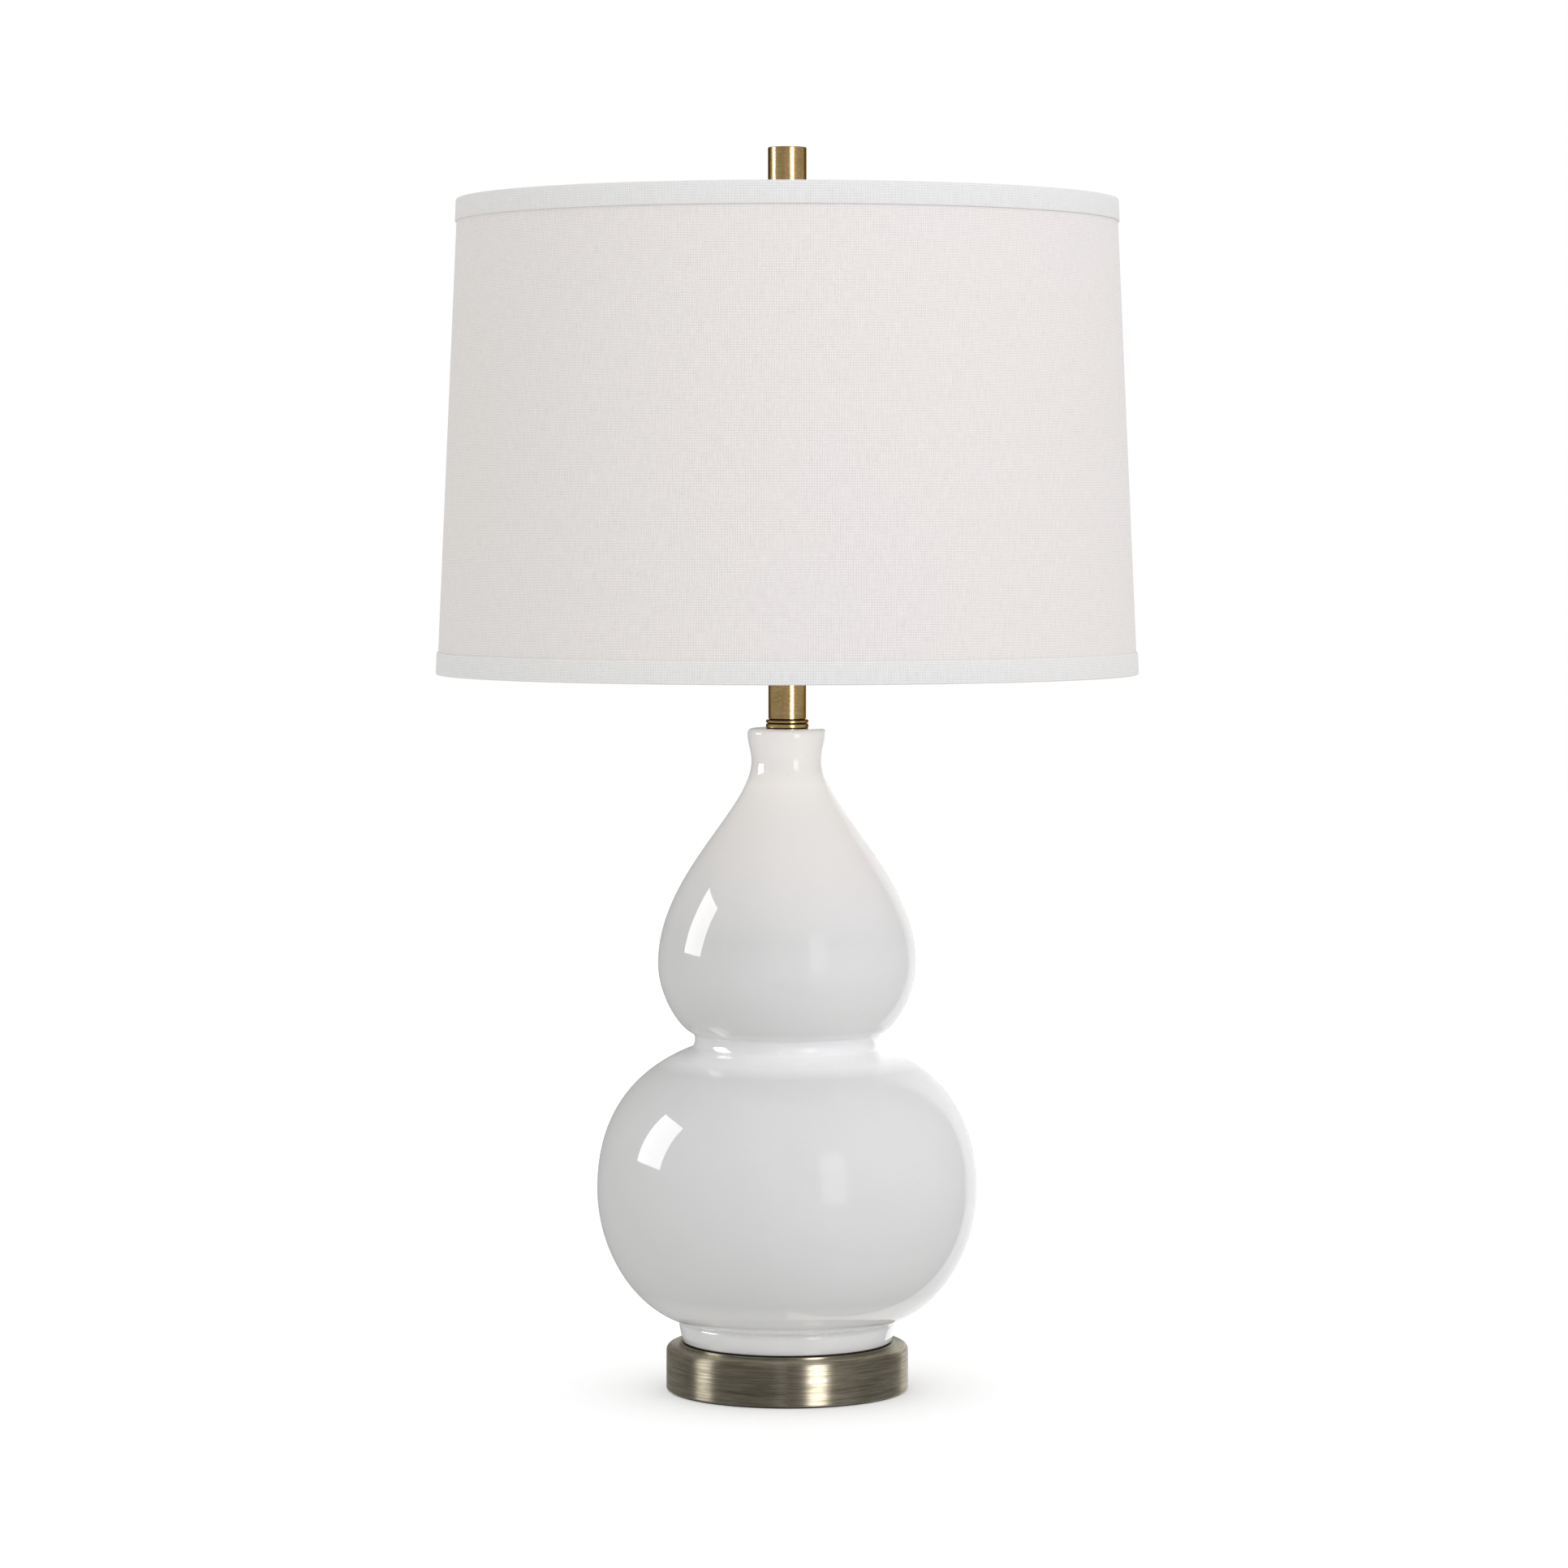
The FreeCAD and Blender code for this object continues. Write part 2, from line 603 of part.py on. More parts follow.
groove = (s.groove_radius, foot_z + s.groove_height)
belly = (s.belly_radius, foot_z + s.belly_height)
crease_low = (s.crease_low_radius, foot_z + s.crease_low_height)
crease_high = (s.crease_high_radius, foot_z + s.crease_high_height)
upper = (s.bulb_radius, foot_z + s.bulb_height)
lip = (s.lip_radius, mouth_z - s.lip_round)
waist = (s.waist_radius, lip[1] - s.waist_below_lip)
foot_edge = (s.foot_bottom_radius, foot_z)
foot_shoulder = (s.foot_top_radius, foot_z + s.foot_height)
mouth_edge = (s.lip_radius - s.lip_round, mouth_z)

gasket_radius = s.foot_bottom_radius - s.gasket_inset
tube("foot_gasket", gasket_radius - s.gasket_width, gasket_radius, seat_z, foot_z)


def beyond(pole, handle, reach):
    """A pole that carries the line from handle to pole on by reach, so that the curve stays smooth."""
    along = Vector(pole[0].value - handle[0].value, pole[1].value - handle[1].value, 0).normalize()
    return (pole[0] + along.x * reach, pole[1] + along.y * reach)


def lean(pole, outwards=0, upwards=0):
    """A pole moved by the given sizes."""
    return (pole[0] + outwards, pole[1] + upwards)


shoulder = lean(crease_low, s.shoulder_reach, -s.shoulder_fall)
hip = lean(crease_high, s.hip_reach, s.hip_rise)
floor_hole = (s.foot_bore, foot_z)
before_edge = beyond(foot_edge, floor_hole, -s.foot_edge_round)
after_edge = beyond(foot_edge, foot_shoulder, -s.foot_edge_round)
before_shoulder = beyond(foot_shoulder, foot_edge, -s.foot_shoulder_round)
after_shoulder = beyond(foot_shoulder, groove, -s.foot_shoulder_round)
blown_shell("gourd_body", [
    straight(floor_hole, before_edge),
    curve(before_edge, foot_edge, after_edge),
    straight(after_edge, before_shoulder),
    curve(before_shoulder, foot_shoulder, after_shoulder),
    straight(after_shoulder, groove),
    curve(groove, lean(groove, s.underside_reach, s.underside_rise),
          lean(belly, upwards=-s.belly_fullness_below), belly),
    curve(belly, lean(belly, upwards=s.belly_fullness_above), shoulder, crease_low),
    curve(crease_low, beyond(crease_low, shoulder, s.crease_reach),
          beyond(crease_high, hip, s.crease_reach), crease_high),
    curve(crease_high, hip, lean(upper, upwards=-s.bulb_fullness_below), upper),
    curve(upper, lean(upper, upwards=s.bulb_fullness_above),
          lean(waist, upwards=-s.waist_softness), waist),
    curve(waist, lean(waist, upwards=s.lip_flare), lean(lip, upwards=-s.lip_flare), lip),
    curve(lip, lean(lip, upwards=s.lip_round * ROUND_HANDLE),
          lean(mouth_edge, outwards=s.lip_round * ROUND_HANDLE), mouth_edge),
    straight(mouth_edge, (s.mouth_bore, mouth_z)),
], s.body_wall)


# ---------------------------------------------------------------------------------------------
# Neck: threaded pipe, beaded collar, brass tube, check ring, harp saddle

tube("threaded_pipe", s.pipe_bore, s.pipe_radius, pipe_z, pipe_top)

bead_join = mouth_z + s.collar_lower_bead
turned("neck_collar", [
    (screwed, mouth_z),
    (s.collar_radius, mouth_z, s.collar_bead_round),
    (s.collar_radius, bead_join, s.collar_bead_round),
    (s.collar_groove, bead_join),
    (s.collar_groove, bead_join + s.collar_groove_height),
    (s.collar_radius, bead_join + s.collar_groove_height, s.collar_bead_round),
    (s.collar_radius, collar_top, s.collar_bead_round),
    (screwed, collar_top),
])

neck_bore = s.neck_radius - s.neck_wall
turned("neck_tube", [
    (neck_bore, collar_top),
    (s.neck_radius - s.neck_foot_step, collar_top),
    (s.neck_radius - s.neck_foot_step, collar_top + s.neck_foot_step),
    (s.neck_radius, collar_top + s.neck_foot_step),
    (s.neck_radius, neck_top),
    (neck_bore, neck_top),
])
tube("check_ring", screwed, s.check_ring_radius, neck_top, saddle_z)

saddle = new_body("harp_saddle")
saddle_outside = s.saddle_half_span + s.saddle_sheet / 2
saddle_inside = s.saddle_half_span - s.saddle_sheet / 2
inner_bend = s.saddle_bend - s.saddle_sheet
strip_sketch = new_sketch(saddle, "saddle_strip_outline")
draw(strip_sketch, [
    (-saddle_outside, saddle_z, s.saddle_bend),
    (saddle_outside, saddle_z, s.saddle_bend),
    (saddle_outside, arm_top),
    (saddle_inside, arm_top),
    (saddle_inside, cap_z, inner_bend),
    (-saddle_inside, cap_z, inner_bend),
    (-saddle_inside, arm_top),
    (-saddle_outside, arm_top),
])
pad(saddle, "saddle_strip", strip_sketch, s.saddle_width, midplane=True)
hub_sketch = new_sketch(saddle, "saddle_hub_circle", "XY_Plane", saddle_z)
draw_circle(hub_sketch, 0, 0, s.saddle_hub_radius)
pad(saddle, "saddle_hub", hub_sketch, s.saddle_sheet)
post_sketch = new_sketch(saddle, "saddle_post_circles", "XY_Plane", arm_top - s.saddle_sheet)
for side in (-1, 1):
    draw_circle(post_sketch, side * s.saddle_half_span, 0, s.wire_radius)
pad(saddle, "saddle_posts", post_sketch, s.saddle_post_length + s.saddle_sheet)
bore_sketch = new_sketch(saddle, "saddle_bore_circle", "XY_Plane", saddle_z)
draw_circle(bore_sketch, 0, 0, screwed)
cut(saddle, "saddle_bore", bore_sketch, s.saddle_sheet, backwards=True)


# ---------------------------------------------------------------------------------------------
# Lamp holder: cap and shell round a moulded block, with a turn-knob switch at the front

cap_neck_top = cap_z + s.cap_neck_height
cap_cone_top = cap_neck_top + s.cap_cone_height
cap_top = cap_z + s.cap_height
cap_inside = s.cap_radius - s.cap_wall
cap = turned("socket_cap", [
    (screwed, cap_z),
    (s.cap_neck_radius, cap_z),
    (s.cap_neck_radius, cap_neck_top),
    (s.cap_radius, cap_cone_top, s.cap_round),
    (s.cap_radius, cap_top),
    (cap_inside, cap_top),
    (cap_inside, cap_cone_top + s.cap_wall / 2, s.cap_round - s.cap_wall),
    (s.cap_neck_radius, cap_neck_top + s.cap_wall),
    (screwed, cap_neck_top + s.cap_wall),
])
set_screw_z = cap_z + s.set_screw_height
hole_towards(cap, "set_screw_hole", "YZ_Plane", 0, set_screw_z,
             s.set_screw_radius + s.thread_clearance, s.cap_neck_radius * THROUGH, backwards=True)

# The set screw is drawn upright about its own axis, z = 0 at the pipe's axis.
head_start = s.cap_neck_radius + s.slip_clearance
set_screw = turned("cap_set_screw", [
    (0, screwed),
    (s.set_screw_radius, screwed),
    (s.set_screw_radius, head_start),
    (s.set_screw_head, head_start),
    (s.set_screw_head, head_start + s.set_screw_head_length),
    (0, head_start + s.set_screw_head_length),
])
stand(set_screw, z=set_screw_z, turn_axis=Vector(0, 1, 0), turn_degrees=QUARTER_TURN)

shell_inside = s.cap_radius + s.slip_clearance
shell_outside = shell_inside + s.shell_wall
shell_z = cap_z + s.shell_start
shell_top = shell_z + s.shell_length
shell = turned("socket_shell", [
    (shell_inside, shell_z),
    (shell_outside, shell_z),
    (shell_outside, shell_top - 2 * s.shell_rim),
    (shell_outside + s.shell_rim, shell_top - 2 * s.shell_rim),
    (shell_outside + s.shell_rim, shell_top),
    (shell_inside, shell_top),
])
hole_towards(shell, "shell_window", "XZ_Plane", 0, switch_z, s.switch_window,
             shell_outside * THROUGH, backwards=True)

liner_outside = shell_inside - s.slip_clearance
liner = tube("socket_liner", liner_outside - s.liner_wall, liner_outside,
             cap_top + s.seat_gap, shell_top - s.liner_setback)
hole_towards(liner, "liner_window", "XZ_Plane", 0, switch_z, s.switch_window,
             shell_outside * THROUGH, backwards=True)

block_flange = cap_inside - s.slip_clearance
block = turned("socket_block", [
    (0, block_z),
    (block_flange, block_z),
    (block_flange, block_z + s.block_flange_height),
    (s.block_radius, block_z + s.block_flange_height),
    (s.block_radius, block_top),
    (0, block_top),
])
shaft_bore = s.shaft_radius + s.slip_clearance
shaft_start = s.block_radius - s.shaft_in_block
bore_sketch = new_sketch(block, "shaft_bore_circle", "XZ_Plane")
draw_circle(bore_sketch, 0, switch_z, shaft_bore)
cut(block, "shaft_bore", bore_sketch, s.block_radius * THROUGH, backwards=True)

sleeve_outside = s.screw_shell_bore + s.screw_shell_wall
floor_top = block_top + s.screw_shell_wall
turned("socket_screw_shell", [
    (s.screw_shell_floor_hole, block_top),
    (sleeve_outside, block_top),
    (sleeve_outside, block_top + s.screw_shell_length),
    (s.screw_shell_bore, block_top + s.screw_shell_length),
    (s.screw_shell_bore, floor_top),
    (s.screw_shell_floor_hole, floor_top),
])
turned("socket_contact", [
    (0, block_top),
    (s.contact_radius, block_top),
    (s.contact_radius, tip_z - s.seat_gap),
    (0, tip_z - s.seat_gap),
])

# two terminal screws, one on each side of the block towards the back
terminals = new_body("terminal_screws")
terminal_z = block_z + s.terminal_height
head_sketch = new_sketch(terminals, "terminal_circle", "YZ_Plane", s.block_radius + s.slip_clearance)
draw_circle(head_sketch, 0, terminal_z, s.terminal_radius)
head = pad(terminals, "terminal_head", head_sketch, s.terminal_length)
repeat(terminals, "terminal_heads", head, s.terminal_count)

# The switch shaft and the knob are drawn upright about their own axis, z = 0 at the lamp's axis.
shaft_end = shell_outside + s.knob_gap + s.shaft_in_knob
switch_shaft = turned("switch_shaft", [
    (0, shaft_start),
    (s.shaft_radius, shaft_start),
    (s.shaft_radius, shaft_end),
    (0, shaft_end),
])
stand(switch_shaft, z=switch_z, turn_axis=Vector(1, 0, 0), turn_degrees=QUARTER_TURN)

knob_start = shell_outside + s.knob_gap
knob_end = knob_start + s.knob_length
knob = new_body("switch_knob")
knob_bore = s.shaft_radius + s.thread_clearance
turn(knob, "knob_turned", [
    (knob_bore, knob_start),
    (s.knob_radius, knob_start, s.knob_round),
    (s.knob_radius, knob_end, s.knob_round),
    (0, knob_end),
    (0, shaft_end + s.thread_clearance),
    (knob_bore, shaft_end + s.thread_clearance),
])
groove_sketch = new_sketch(knob, "knob_groove_circle", "XY_Plane", knob_start)
draw_circle(groove_sketch, s.knob_radius, 0, s.knob_groove)
knob_groove = cut(knob, "knob_groove", groove_sketch, s.knob_length, backwards=True)
repeat(knob, "knob_grooves", knob_groove, s.knob_groove_count)
stand(knob, z=switch_z, turn_axis=Vector(1, 0, 0), turn_degrees=QUARTER_TURN)


# ---------------------------------------------------------------------------------------------
# Light bulb: contact, black glass ring, screw cap, glass

insulator_top = tip_z + s.insulator_height
bulb_cap_top = tip_z + s.bulb_cap_top
bulb_cap_inside = s.bulb_cap_radius - s.bulb_cap_wall
cap_bevel = s.bulb_cap_radius - s.insulator_radius
turned("bulb_contact", [
    (0, tip_z),
    (s.tip_radius, tip_z + s.tip_height / 2),
    (s.tip_radius, tip_z + s.tip_height),
    (0, tip_z + s.tip_height),
])
turned("bulb_insulator", [
    (0, tip_z + s.tip_height),
    (s.tip_radius, tip_z + s.tip_height),
    (s.insulator_radius, insulator_top),
    (0, insulator_top),
])
turned("bulb_cap", [
    (s.insulator_radius - s.bulb_cap_wall, insulator_top),
    (s.insulator_radius, insulator_top),
    (s.bulb_cap_radius, insulator_top + cap_bevel),
    (s.bulb_cap_radius, bulb_cap_top),
    (bulb_cap_inside, bulb_cap_top),
    (bulb_cap_inside, insulator_top + cap_bevel),
])

glass_foot = (s.glass_neck_radius, tip_z + s.glass_start)
glass_wide = (s.glass_radius, tip_z + s.glass_wide_height)
glass_tip = (as_size(0), tip_z + s.glass_top)
blown_shell("bulb_glass", [
    curve(glass_foot, lean(glass_foot, upwards=s.glass_neck_fullness),
          lean(glass_wide, upwards=-s.glass_side_fullness), glass_wide),
    curve(glass_wide, lean(glass_wide, upwards=s.glass_top_fullness),
          lean(glass_tip, outwards=s.glass_top_fullness), glass_tip),
], s.glass_wall)


# ---------------------------------------------------------------------------------------------
# Harp: one bent wire, the stud on top of it and the sleeves that lock its legs to the saddle

harp = new_body("harp_wire")
leg_x = s.saddle_half_span
wide_x = s.harp_half_width
low_corner = leg_z + s.harp_leg_straight
high_corner = leg_z + s.harp_leg_spread
path = new_sketch(harp, "harp_path")
draw(path, [
    (-leg_x, leg_z),
    (-leg_x, low_corner, s.harp_low_bend),
    (-wide_x, high_corner, s.harp_high_bend),
    (-wide_x, harp_top, s.harp_arch),
    (wide_x, harp_top, s.harp_arch),
    (wide_x, high_corner, s.harp_high_bend),
    (leg_x, low_corner, s.harp_low_bend),
    (leg_x, leg_z),
], closed=False)
section = new_sketch(harp, "harp_section", "XY_Plane", leg_z)
draw_circle(section, -leg_x, 0, s.wire_radius)
sweep(harp, "harp_bend", section, path)

stud = turned("harp_stud", [
    (0, harp_top - s.stud_block_below),
    (s.stud_block_radius, harp_top - s.stud_block_below),
    (s.stud_block_radius, flange_top - s.stud_flange_thickness),
    (s.stud_flange_radius, flange_top - s.stud_flange_thickness),
    (s.stud_flange_radius, flange_top),
    (s.stud_radius, flange_top),
    (s.stud_radius, flange_top + s.stud_length),
    (0, flange_top + s.stud_length),
])
wire_hole = new_sketch(stud, "wire_hole_circle", "YZ_Plane")
draw_circle(wire_hole, 0, harp_top, s.wire_radius + s.thread_clearance)
cut(stud, "wire_hole", wire_hole, s.stud_block_radius * THROUGH * 2, midplane=True)

ferrule_z = arm_top + s.seat_gap
ferrule_top = ferrule_z + s.ferrule_length
ferrule_bore = s.wire_radius + s.slip_clearance
ferrule_rim = s.ferrule_radius + s.ferrule_rim
for name, side in (("ferrule_left", -1), ("ferrule_right", 1)):
    ferrule = turned(name, [
        (ferrule_bore, ferrule_z),
        (ferrule_rim, ferrule_z, s.ferrule_rim),
        (ferrule_rim, ferrule_z + s.ferrule_rim_height),
        (s.ferrule_radius, ferrule_z + s.ferrule_rim_height),
        (s.ferrule_radius, ferrule_top - s.ferrule_rim_height),
        (ferrule_rim, ferrule_top - s.ferrule_rim_height),
        (ferrule_rim, ferrule_top, s.ferrule_rim),
        (ferrule_bore, ferrule_top),
    ])
    stand(ferrule, x=side * s.saddle_half_span)


# ---------------------------------------------------------------------------------------------
# Shade: cloth on a stiff lining, two wire rings, a spider, tape over both rims

taper = s.shade_flare / s.shade_height
lining_back = s.cloth_thickness + s.shade_liner_thickness + 2 * s.layer_gap
ring_back = lining_back + s.ring_wire
tape_back = ring_back + s.ring_wire + s.layer_gap
tape_front = s.layer_gap + s.trim_thickness


def on_cone(height, back=0):
    """The point at this height that lies back behind the face of the cloth."""
    return (s.shade_top_radius + (shade_top - height) * taper - back, height)


def cone_layer(name, front, thickness, bottom, top):
    """One layer of the shade's wall."""
    back = front + thickness
    turned(name, [on_cone(bottom, back), on_cone(bottom, front),
                  on_cone(top, front), on_cone(top, back)])


def ring(name, height):
    """A wire ring behind the lining."""
    body = new_body(name)
    sketch = new_sketch(body, f"{name}_section")
    draw_circle(sketch, *on_cone(height, ring_back), s.ring_wire)
    revolve(body, f"{name}_turned", sketch)


def tape(name, rim, inwards):
    """The tape folded over a rim; inwards is the sign of the way from the rim into the shade."""
    outer_end = rim + inwards * s.trim_width
    inner_end = rim + inwards * s.trim_return
    fold = rim + inwards * s.trim_thickness
    return turned(name, [
        on_cone(outer_end, -tape_front),
        on_cone(rim, -tape_front) + (s.trim_round,),
        on_cone(rim, tape_back + s.trim_thickness) + (s.trim_round,),
        on_cone(inner_end, tape_back + s.trim_thickness),
        on_cone(inner_end, tape_back),
        on_cone(fold, tape_back),
        on_cone(fold, -s.layer_gap),
        on_cone(outer_end, -s.layer_gap),
    ])


wall_top = shade_top - s.trim_thickness - s.layer_gap
wall_bottom = shade_bottom + s.trim_thickness + s.layer_gap
top_ring_z = wall_top - s.ring_wire
bottom_ring_z = wall_bottom + s.ring_wire
cone_layer("shade_fabric", as_size(0), s.cloth_thickness, wall_bottom, wall_top)
cone_layer("shade_liner", s.cloth_thickness + s.layer_gap, s.shade_liner_thickness,
           wall_bottom, wall_top)
ring("shade_top_ring", top_ring_z)
ring("shade_bottom_ring", bottom_ring_z)

spider = new_body("shade_spider")
hub_bore = s.stud_radius + s.slip_clearance
turn(spider, "spider_hub", [
    (hub_bore, hub_z),
    (s.hub_radius, hub_z),
    (s.hub_radius, hub_z + s.hub_thickness),
    (hub_bore, hub_z + s.hub_thickness),
])
arm_start = s.hub_radius - s.spider_arm_root
arm_end = on_cone(top_ring_z, ring_back + s.ring_wire)
arm_path = new_sketch(spider, "arm_path")
draw(arm_path, [
    (arm_start, hub_middle),
    (s.hub_radius + s.spider_arm_level, hub_middle, s.spider_bend),
    arm_end,
], closed=False)
arm_section = new_sketch(spider, "arm_section", "YZ_Plane", arm_start)
draw_circle(arm_section, 0, hub_middle, s.spider_arm_radius)
arm = sweep(spider, "spider_arm", arm_section, arm_path)
repeat(spider, "spider_arms", arm, s.spider_arm_count)

top_trim = tape("shade_top_trim", shade_top, -1)
tape("shade_bottom_trim", shade_bottom, 1)

slot_half = s.spider_arm_radius + s.arm_slot_clearance
slot_start = on_cone(shade_top, tape_back + s.trim_thickness)[0] - s.arm_slot_clearance
slot_sketch = new_sketch(top_trim, "arm_slot_outline", "XY_Plane", shade_top - s.trim_return)
draw(slot_sketch, [
    (slot_start, -slot_half),
    (arm_end[0], -slot_half),
    (arm_end[0], slot_half),
    (slot_start, slot_half),
])
slot = cut(top_trim, "arm_slot", slot_sketch, s.trim_return - s.trim_thickness, backwards=True)
repeat(top_trim, "arm_slots", slot, s.spider_arm_count)


# ---------------------------------------------------------------------------------------------
# Finial

thread_end = flange_top + s.stud_length + s.finial_thread_spare
finial_bore = s.stud_radius + s.slip_clearance
turned("finial", [
    (finial_bore, finial_z),
    (s.finial_radius, finial_z, s.finial_edge),
    (s.finial_radius, finial_z + s.finial_height, s.finial_edge),
    (0, finial_z + s.finial_height),
    (0, thread_end),
    (finial_bore, thread_end),
])


# ---------------------------------------------------------------------------------------------
# Checks and files

doc.recompute()
for thing in doc.Objects:
    if "Invalid" in thing.State or "Error" in thing.State:
        raise RuntimeError(f"{thing.Name} failed: {thing.State}")

os.makedirs("parts", exist_ok=True)
for part in parts:
    shape = part.Shape
    if shape.isNull() or not shape.isValid() or not shape.Solids:
        raise RuntimeError(f"{part.Label} has no sound solid")
    shape.exportStep(f"parts/{part.Label}.step")
    print(f"{part.Label}: {len(shape.Solids)} solid, {shape.Volume:.0f} mm3")
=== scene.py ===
import json
import math

import bmesh
import bpy
from mathutils import Matrix, Vector

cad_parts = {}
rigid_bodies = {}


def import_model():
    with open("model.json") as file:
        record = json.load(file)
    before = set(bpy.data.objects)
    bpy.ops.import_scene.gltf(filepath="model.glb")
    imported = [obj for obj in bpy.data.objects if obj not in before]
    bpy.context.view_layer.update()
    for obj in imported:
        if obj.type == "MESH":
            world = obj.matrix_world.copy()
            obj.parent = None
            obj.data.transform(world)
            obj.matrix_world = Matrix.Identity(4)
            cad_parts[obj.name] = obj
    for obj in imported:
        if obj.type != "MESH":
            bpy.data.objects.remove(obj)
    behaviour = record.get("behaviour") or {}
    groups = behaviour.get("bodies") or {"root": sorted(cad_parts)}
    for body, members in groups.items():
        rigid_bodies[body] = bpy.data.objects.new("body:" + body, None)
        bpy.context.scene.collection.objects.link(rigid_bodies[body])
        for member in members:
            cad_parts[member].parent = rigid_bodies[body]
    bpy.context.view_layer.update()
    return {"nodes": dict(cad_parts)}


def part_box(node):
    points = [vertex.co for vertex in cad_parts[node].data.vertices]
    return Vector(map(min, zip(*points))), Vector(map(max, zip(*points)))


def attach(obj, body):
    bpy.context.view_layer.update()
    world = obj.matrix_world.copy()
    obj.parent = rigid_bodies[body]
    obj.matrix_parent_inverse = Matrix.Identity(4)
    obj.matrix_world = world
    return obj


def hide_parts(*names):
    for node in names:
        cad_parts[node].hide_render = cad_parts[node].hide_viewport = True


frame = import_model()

bl_info = {
    "name": "Double Gourd Lamp",
    "version": (1, 0, 0),
    "blender": (4, 5, 0),
    "location": "View3D > Sidebar > Lamp",
    "description": "Dresses the double gourd table lamp piece by piece",
    "category": "Add Mesh",
}

MM = 0.001
TURN = 2 * math.pi
UP = Vector((0, 0, 1))

# where the photograph has its horizon and the lamp's axis, in pixels
IMAGE_SIDE = 1932
HORIZON_ROW = 629
AXIS_COLUMN = 970


# ---------------------------------------------------------------------------------------------
# Sizes and colours that a user would change


def length(label, description, millimetres):
    """A length property, given in millimetres."""
    return bpy.props.FloatProperty(
        name=label, description=description, default=millimetres * MM, min=0, unit="LENGTH",
        precision=5)


def colour(label, description, red, green, blue):
    """A colour property."""
    return bpy.props.FloatVectorProperty(
        name=label, description=description, default=(red, green, blue), subtype="COLOR", size=3,
        min=0, max=1)


def share(label, description, value):
    """A property from 0 to 1."""
    return bpy.props.FloatProperty(
        name=label, description=description, default=value, min=0, max=1, subtype="FACTOR")


class LampGlaze(bpy.types.PropertyGroup):
    tint: colour("Glaze", "Colour of the white glaze", 0.645, 0.645, 0.64)
    # painted light: the paler colour put in the crease and above the foot, where shade gathers;
    # also the colour of the glaze's pits
    pale_glaze: colour("Pooled glaze", "Colour where the glaze gathers thickly", 0.90, 0.90, 0.90)
    # painted light: the paler, warmer colour put round the neck, where the shade keeps light off
    neck: colour("Neck glaze", "Warmer colour of the glaze round the neck", 0.96, 0.92, 0.90)
    gloss: share("Roughness", "How dull the glaze is", 0.015)
    wall: length("Wall", "Thickness of the ceramic", 5.0)


class LampBrass(bpy.types.PropertyGroup):
    bright: colour("Polished brass", "Colour on the brushed faces", 0.97, 0.69, 0.33)
    # also, much darker, the painted shade on the finial, the harp's fittings and the neck
    dark: colour("Patina", "Colour in hollows and brush lines", 0.64, 0.44, 0.19)
    base_bright: colour("Base brass", "Brushed faces of the base", 0.50, 0.455, 0.355)
    # also, much darker, the painted shadow under the ceramic foot
    base_dark: colour("Base patina", "Brush lines of the base", 0.23, 0.20, 0.14)
    plain: colour("Holder brass", "Colour of the lamp holder", 0.72, 0.54, 0.25)
    dullness: share("Roughness", "How dull the brushed brass is", 0.36)


class LampShade(bpy.types.PropertyGroup):
    cloth: colour("Cloth", "Colour of the shade's linen", 0.86, 0.828, 0.81)
    tape_cloth: colour("Tape cloth", "Colour of the tape over the rims", 0.84, 0.838, 0.832)
    shadow: colour("Between threads", "Share of the colour in the gaps", 0.62, 0.62, 0.62)
    lining: colour("Lining", "Colour of the stiff lining", 0.80, 0.80, 0.77)
    thread: length("Thread", "Distance from one thread to the next", 0.80)
    tape: length("Tape", "Width of the tape outside the shade", 11.8)


class LampStage(bpy.types.PropertyGroup):
    paper: colour("Background", "Colour of the floor and the background", 1.0, 1.0, 1.0)
    distance: length("Camera distance", "Camera to the lamp's axis", 2782.9)
    height: length("Camera height", "Camera above the table", 470.35)
    focal: bpy.props.FloatProperty(
        name="Focal length", description="Lens on a 36 mm wide sensor, in millimetres",
        default=119.25, min=1)


# ---------------------------------------------------------------------------------------------
# Outlines


def low(node):
    """The height of a node's lowest point, in millimetres."""
    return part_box(node)[0].z / MM


def high(node):
    """The height of a node's highest point, in millimetres."""
    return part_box(node)[1].z / MM


def reach(node):
    """How far a round node stands from the lamp's axis, in millimetres."""
    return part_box(node)[1].x / MM


def bezier(poles, steps):
    """Points along a curve, the first left out."""
    points = [Vector(pole) for pole in poles]
    order = len(points) - 1
    found = []
    for step in range(1, steps + 1):
        t = step / steps
        found.append(sum((math.comb(order, i) * t ** i * (1 - t) ** (order - i) * point
                          for i, point in enumerate(points)), Vector((0, 0))))
    return found


def rounded(corners, steps=5):
    """A closed outline through corners, each (r, z) or (r, z, radius of its rounding)."""
    outline = []
    for i, corner in enumerate(corners):
        here = Vector(corner[:2])
        if len(corner) == 2:
            outline.append(here)
            continue
        back = (Vector(corners[i - 1][:2]) - here).normalized()
        ahead = (Vector(corners[(i + 1) % len(corners)][:2]) - here).normalized()
        half = back.angle(ahead) / 2
        stop = corner[2] / math.tan(half)
        centre = here + (back + ahead).normalized() * (corner[2] / math.sin(half))
        first, last = here + back * stop - centre, here + ahead * stop - centre
        sweep = first.angle_signed(last)
        for step in range(steps + 1):
            turned_by = Matrix.Rotation(-sweep * step / steps, 2)
            outline.append(centre + turned_by @ first)
    return outline


def inside_of(outline, wall):
    """The same outline one wall further in, without the points that would cross."""
    inner = []
    for before, here, after in zip(outline, outline[1:], outline[2:]):
        along = (after - before).normalized()
        moved = here + Vector((-along.y, along.x)) * wall
        if min((moved - point).length for point in outline) > wall * 0.985:
            inner.append(moved)
    return inner


# ---------------------------------------------------------------------------------------------
# Mesh making


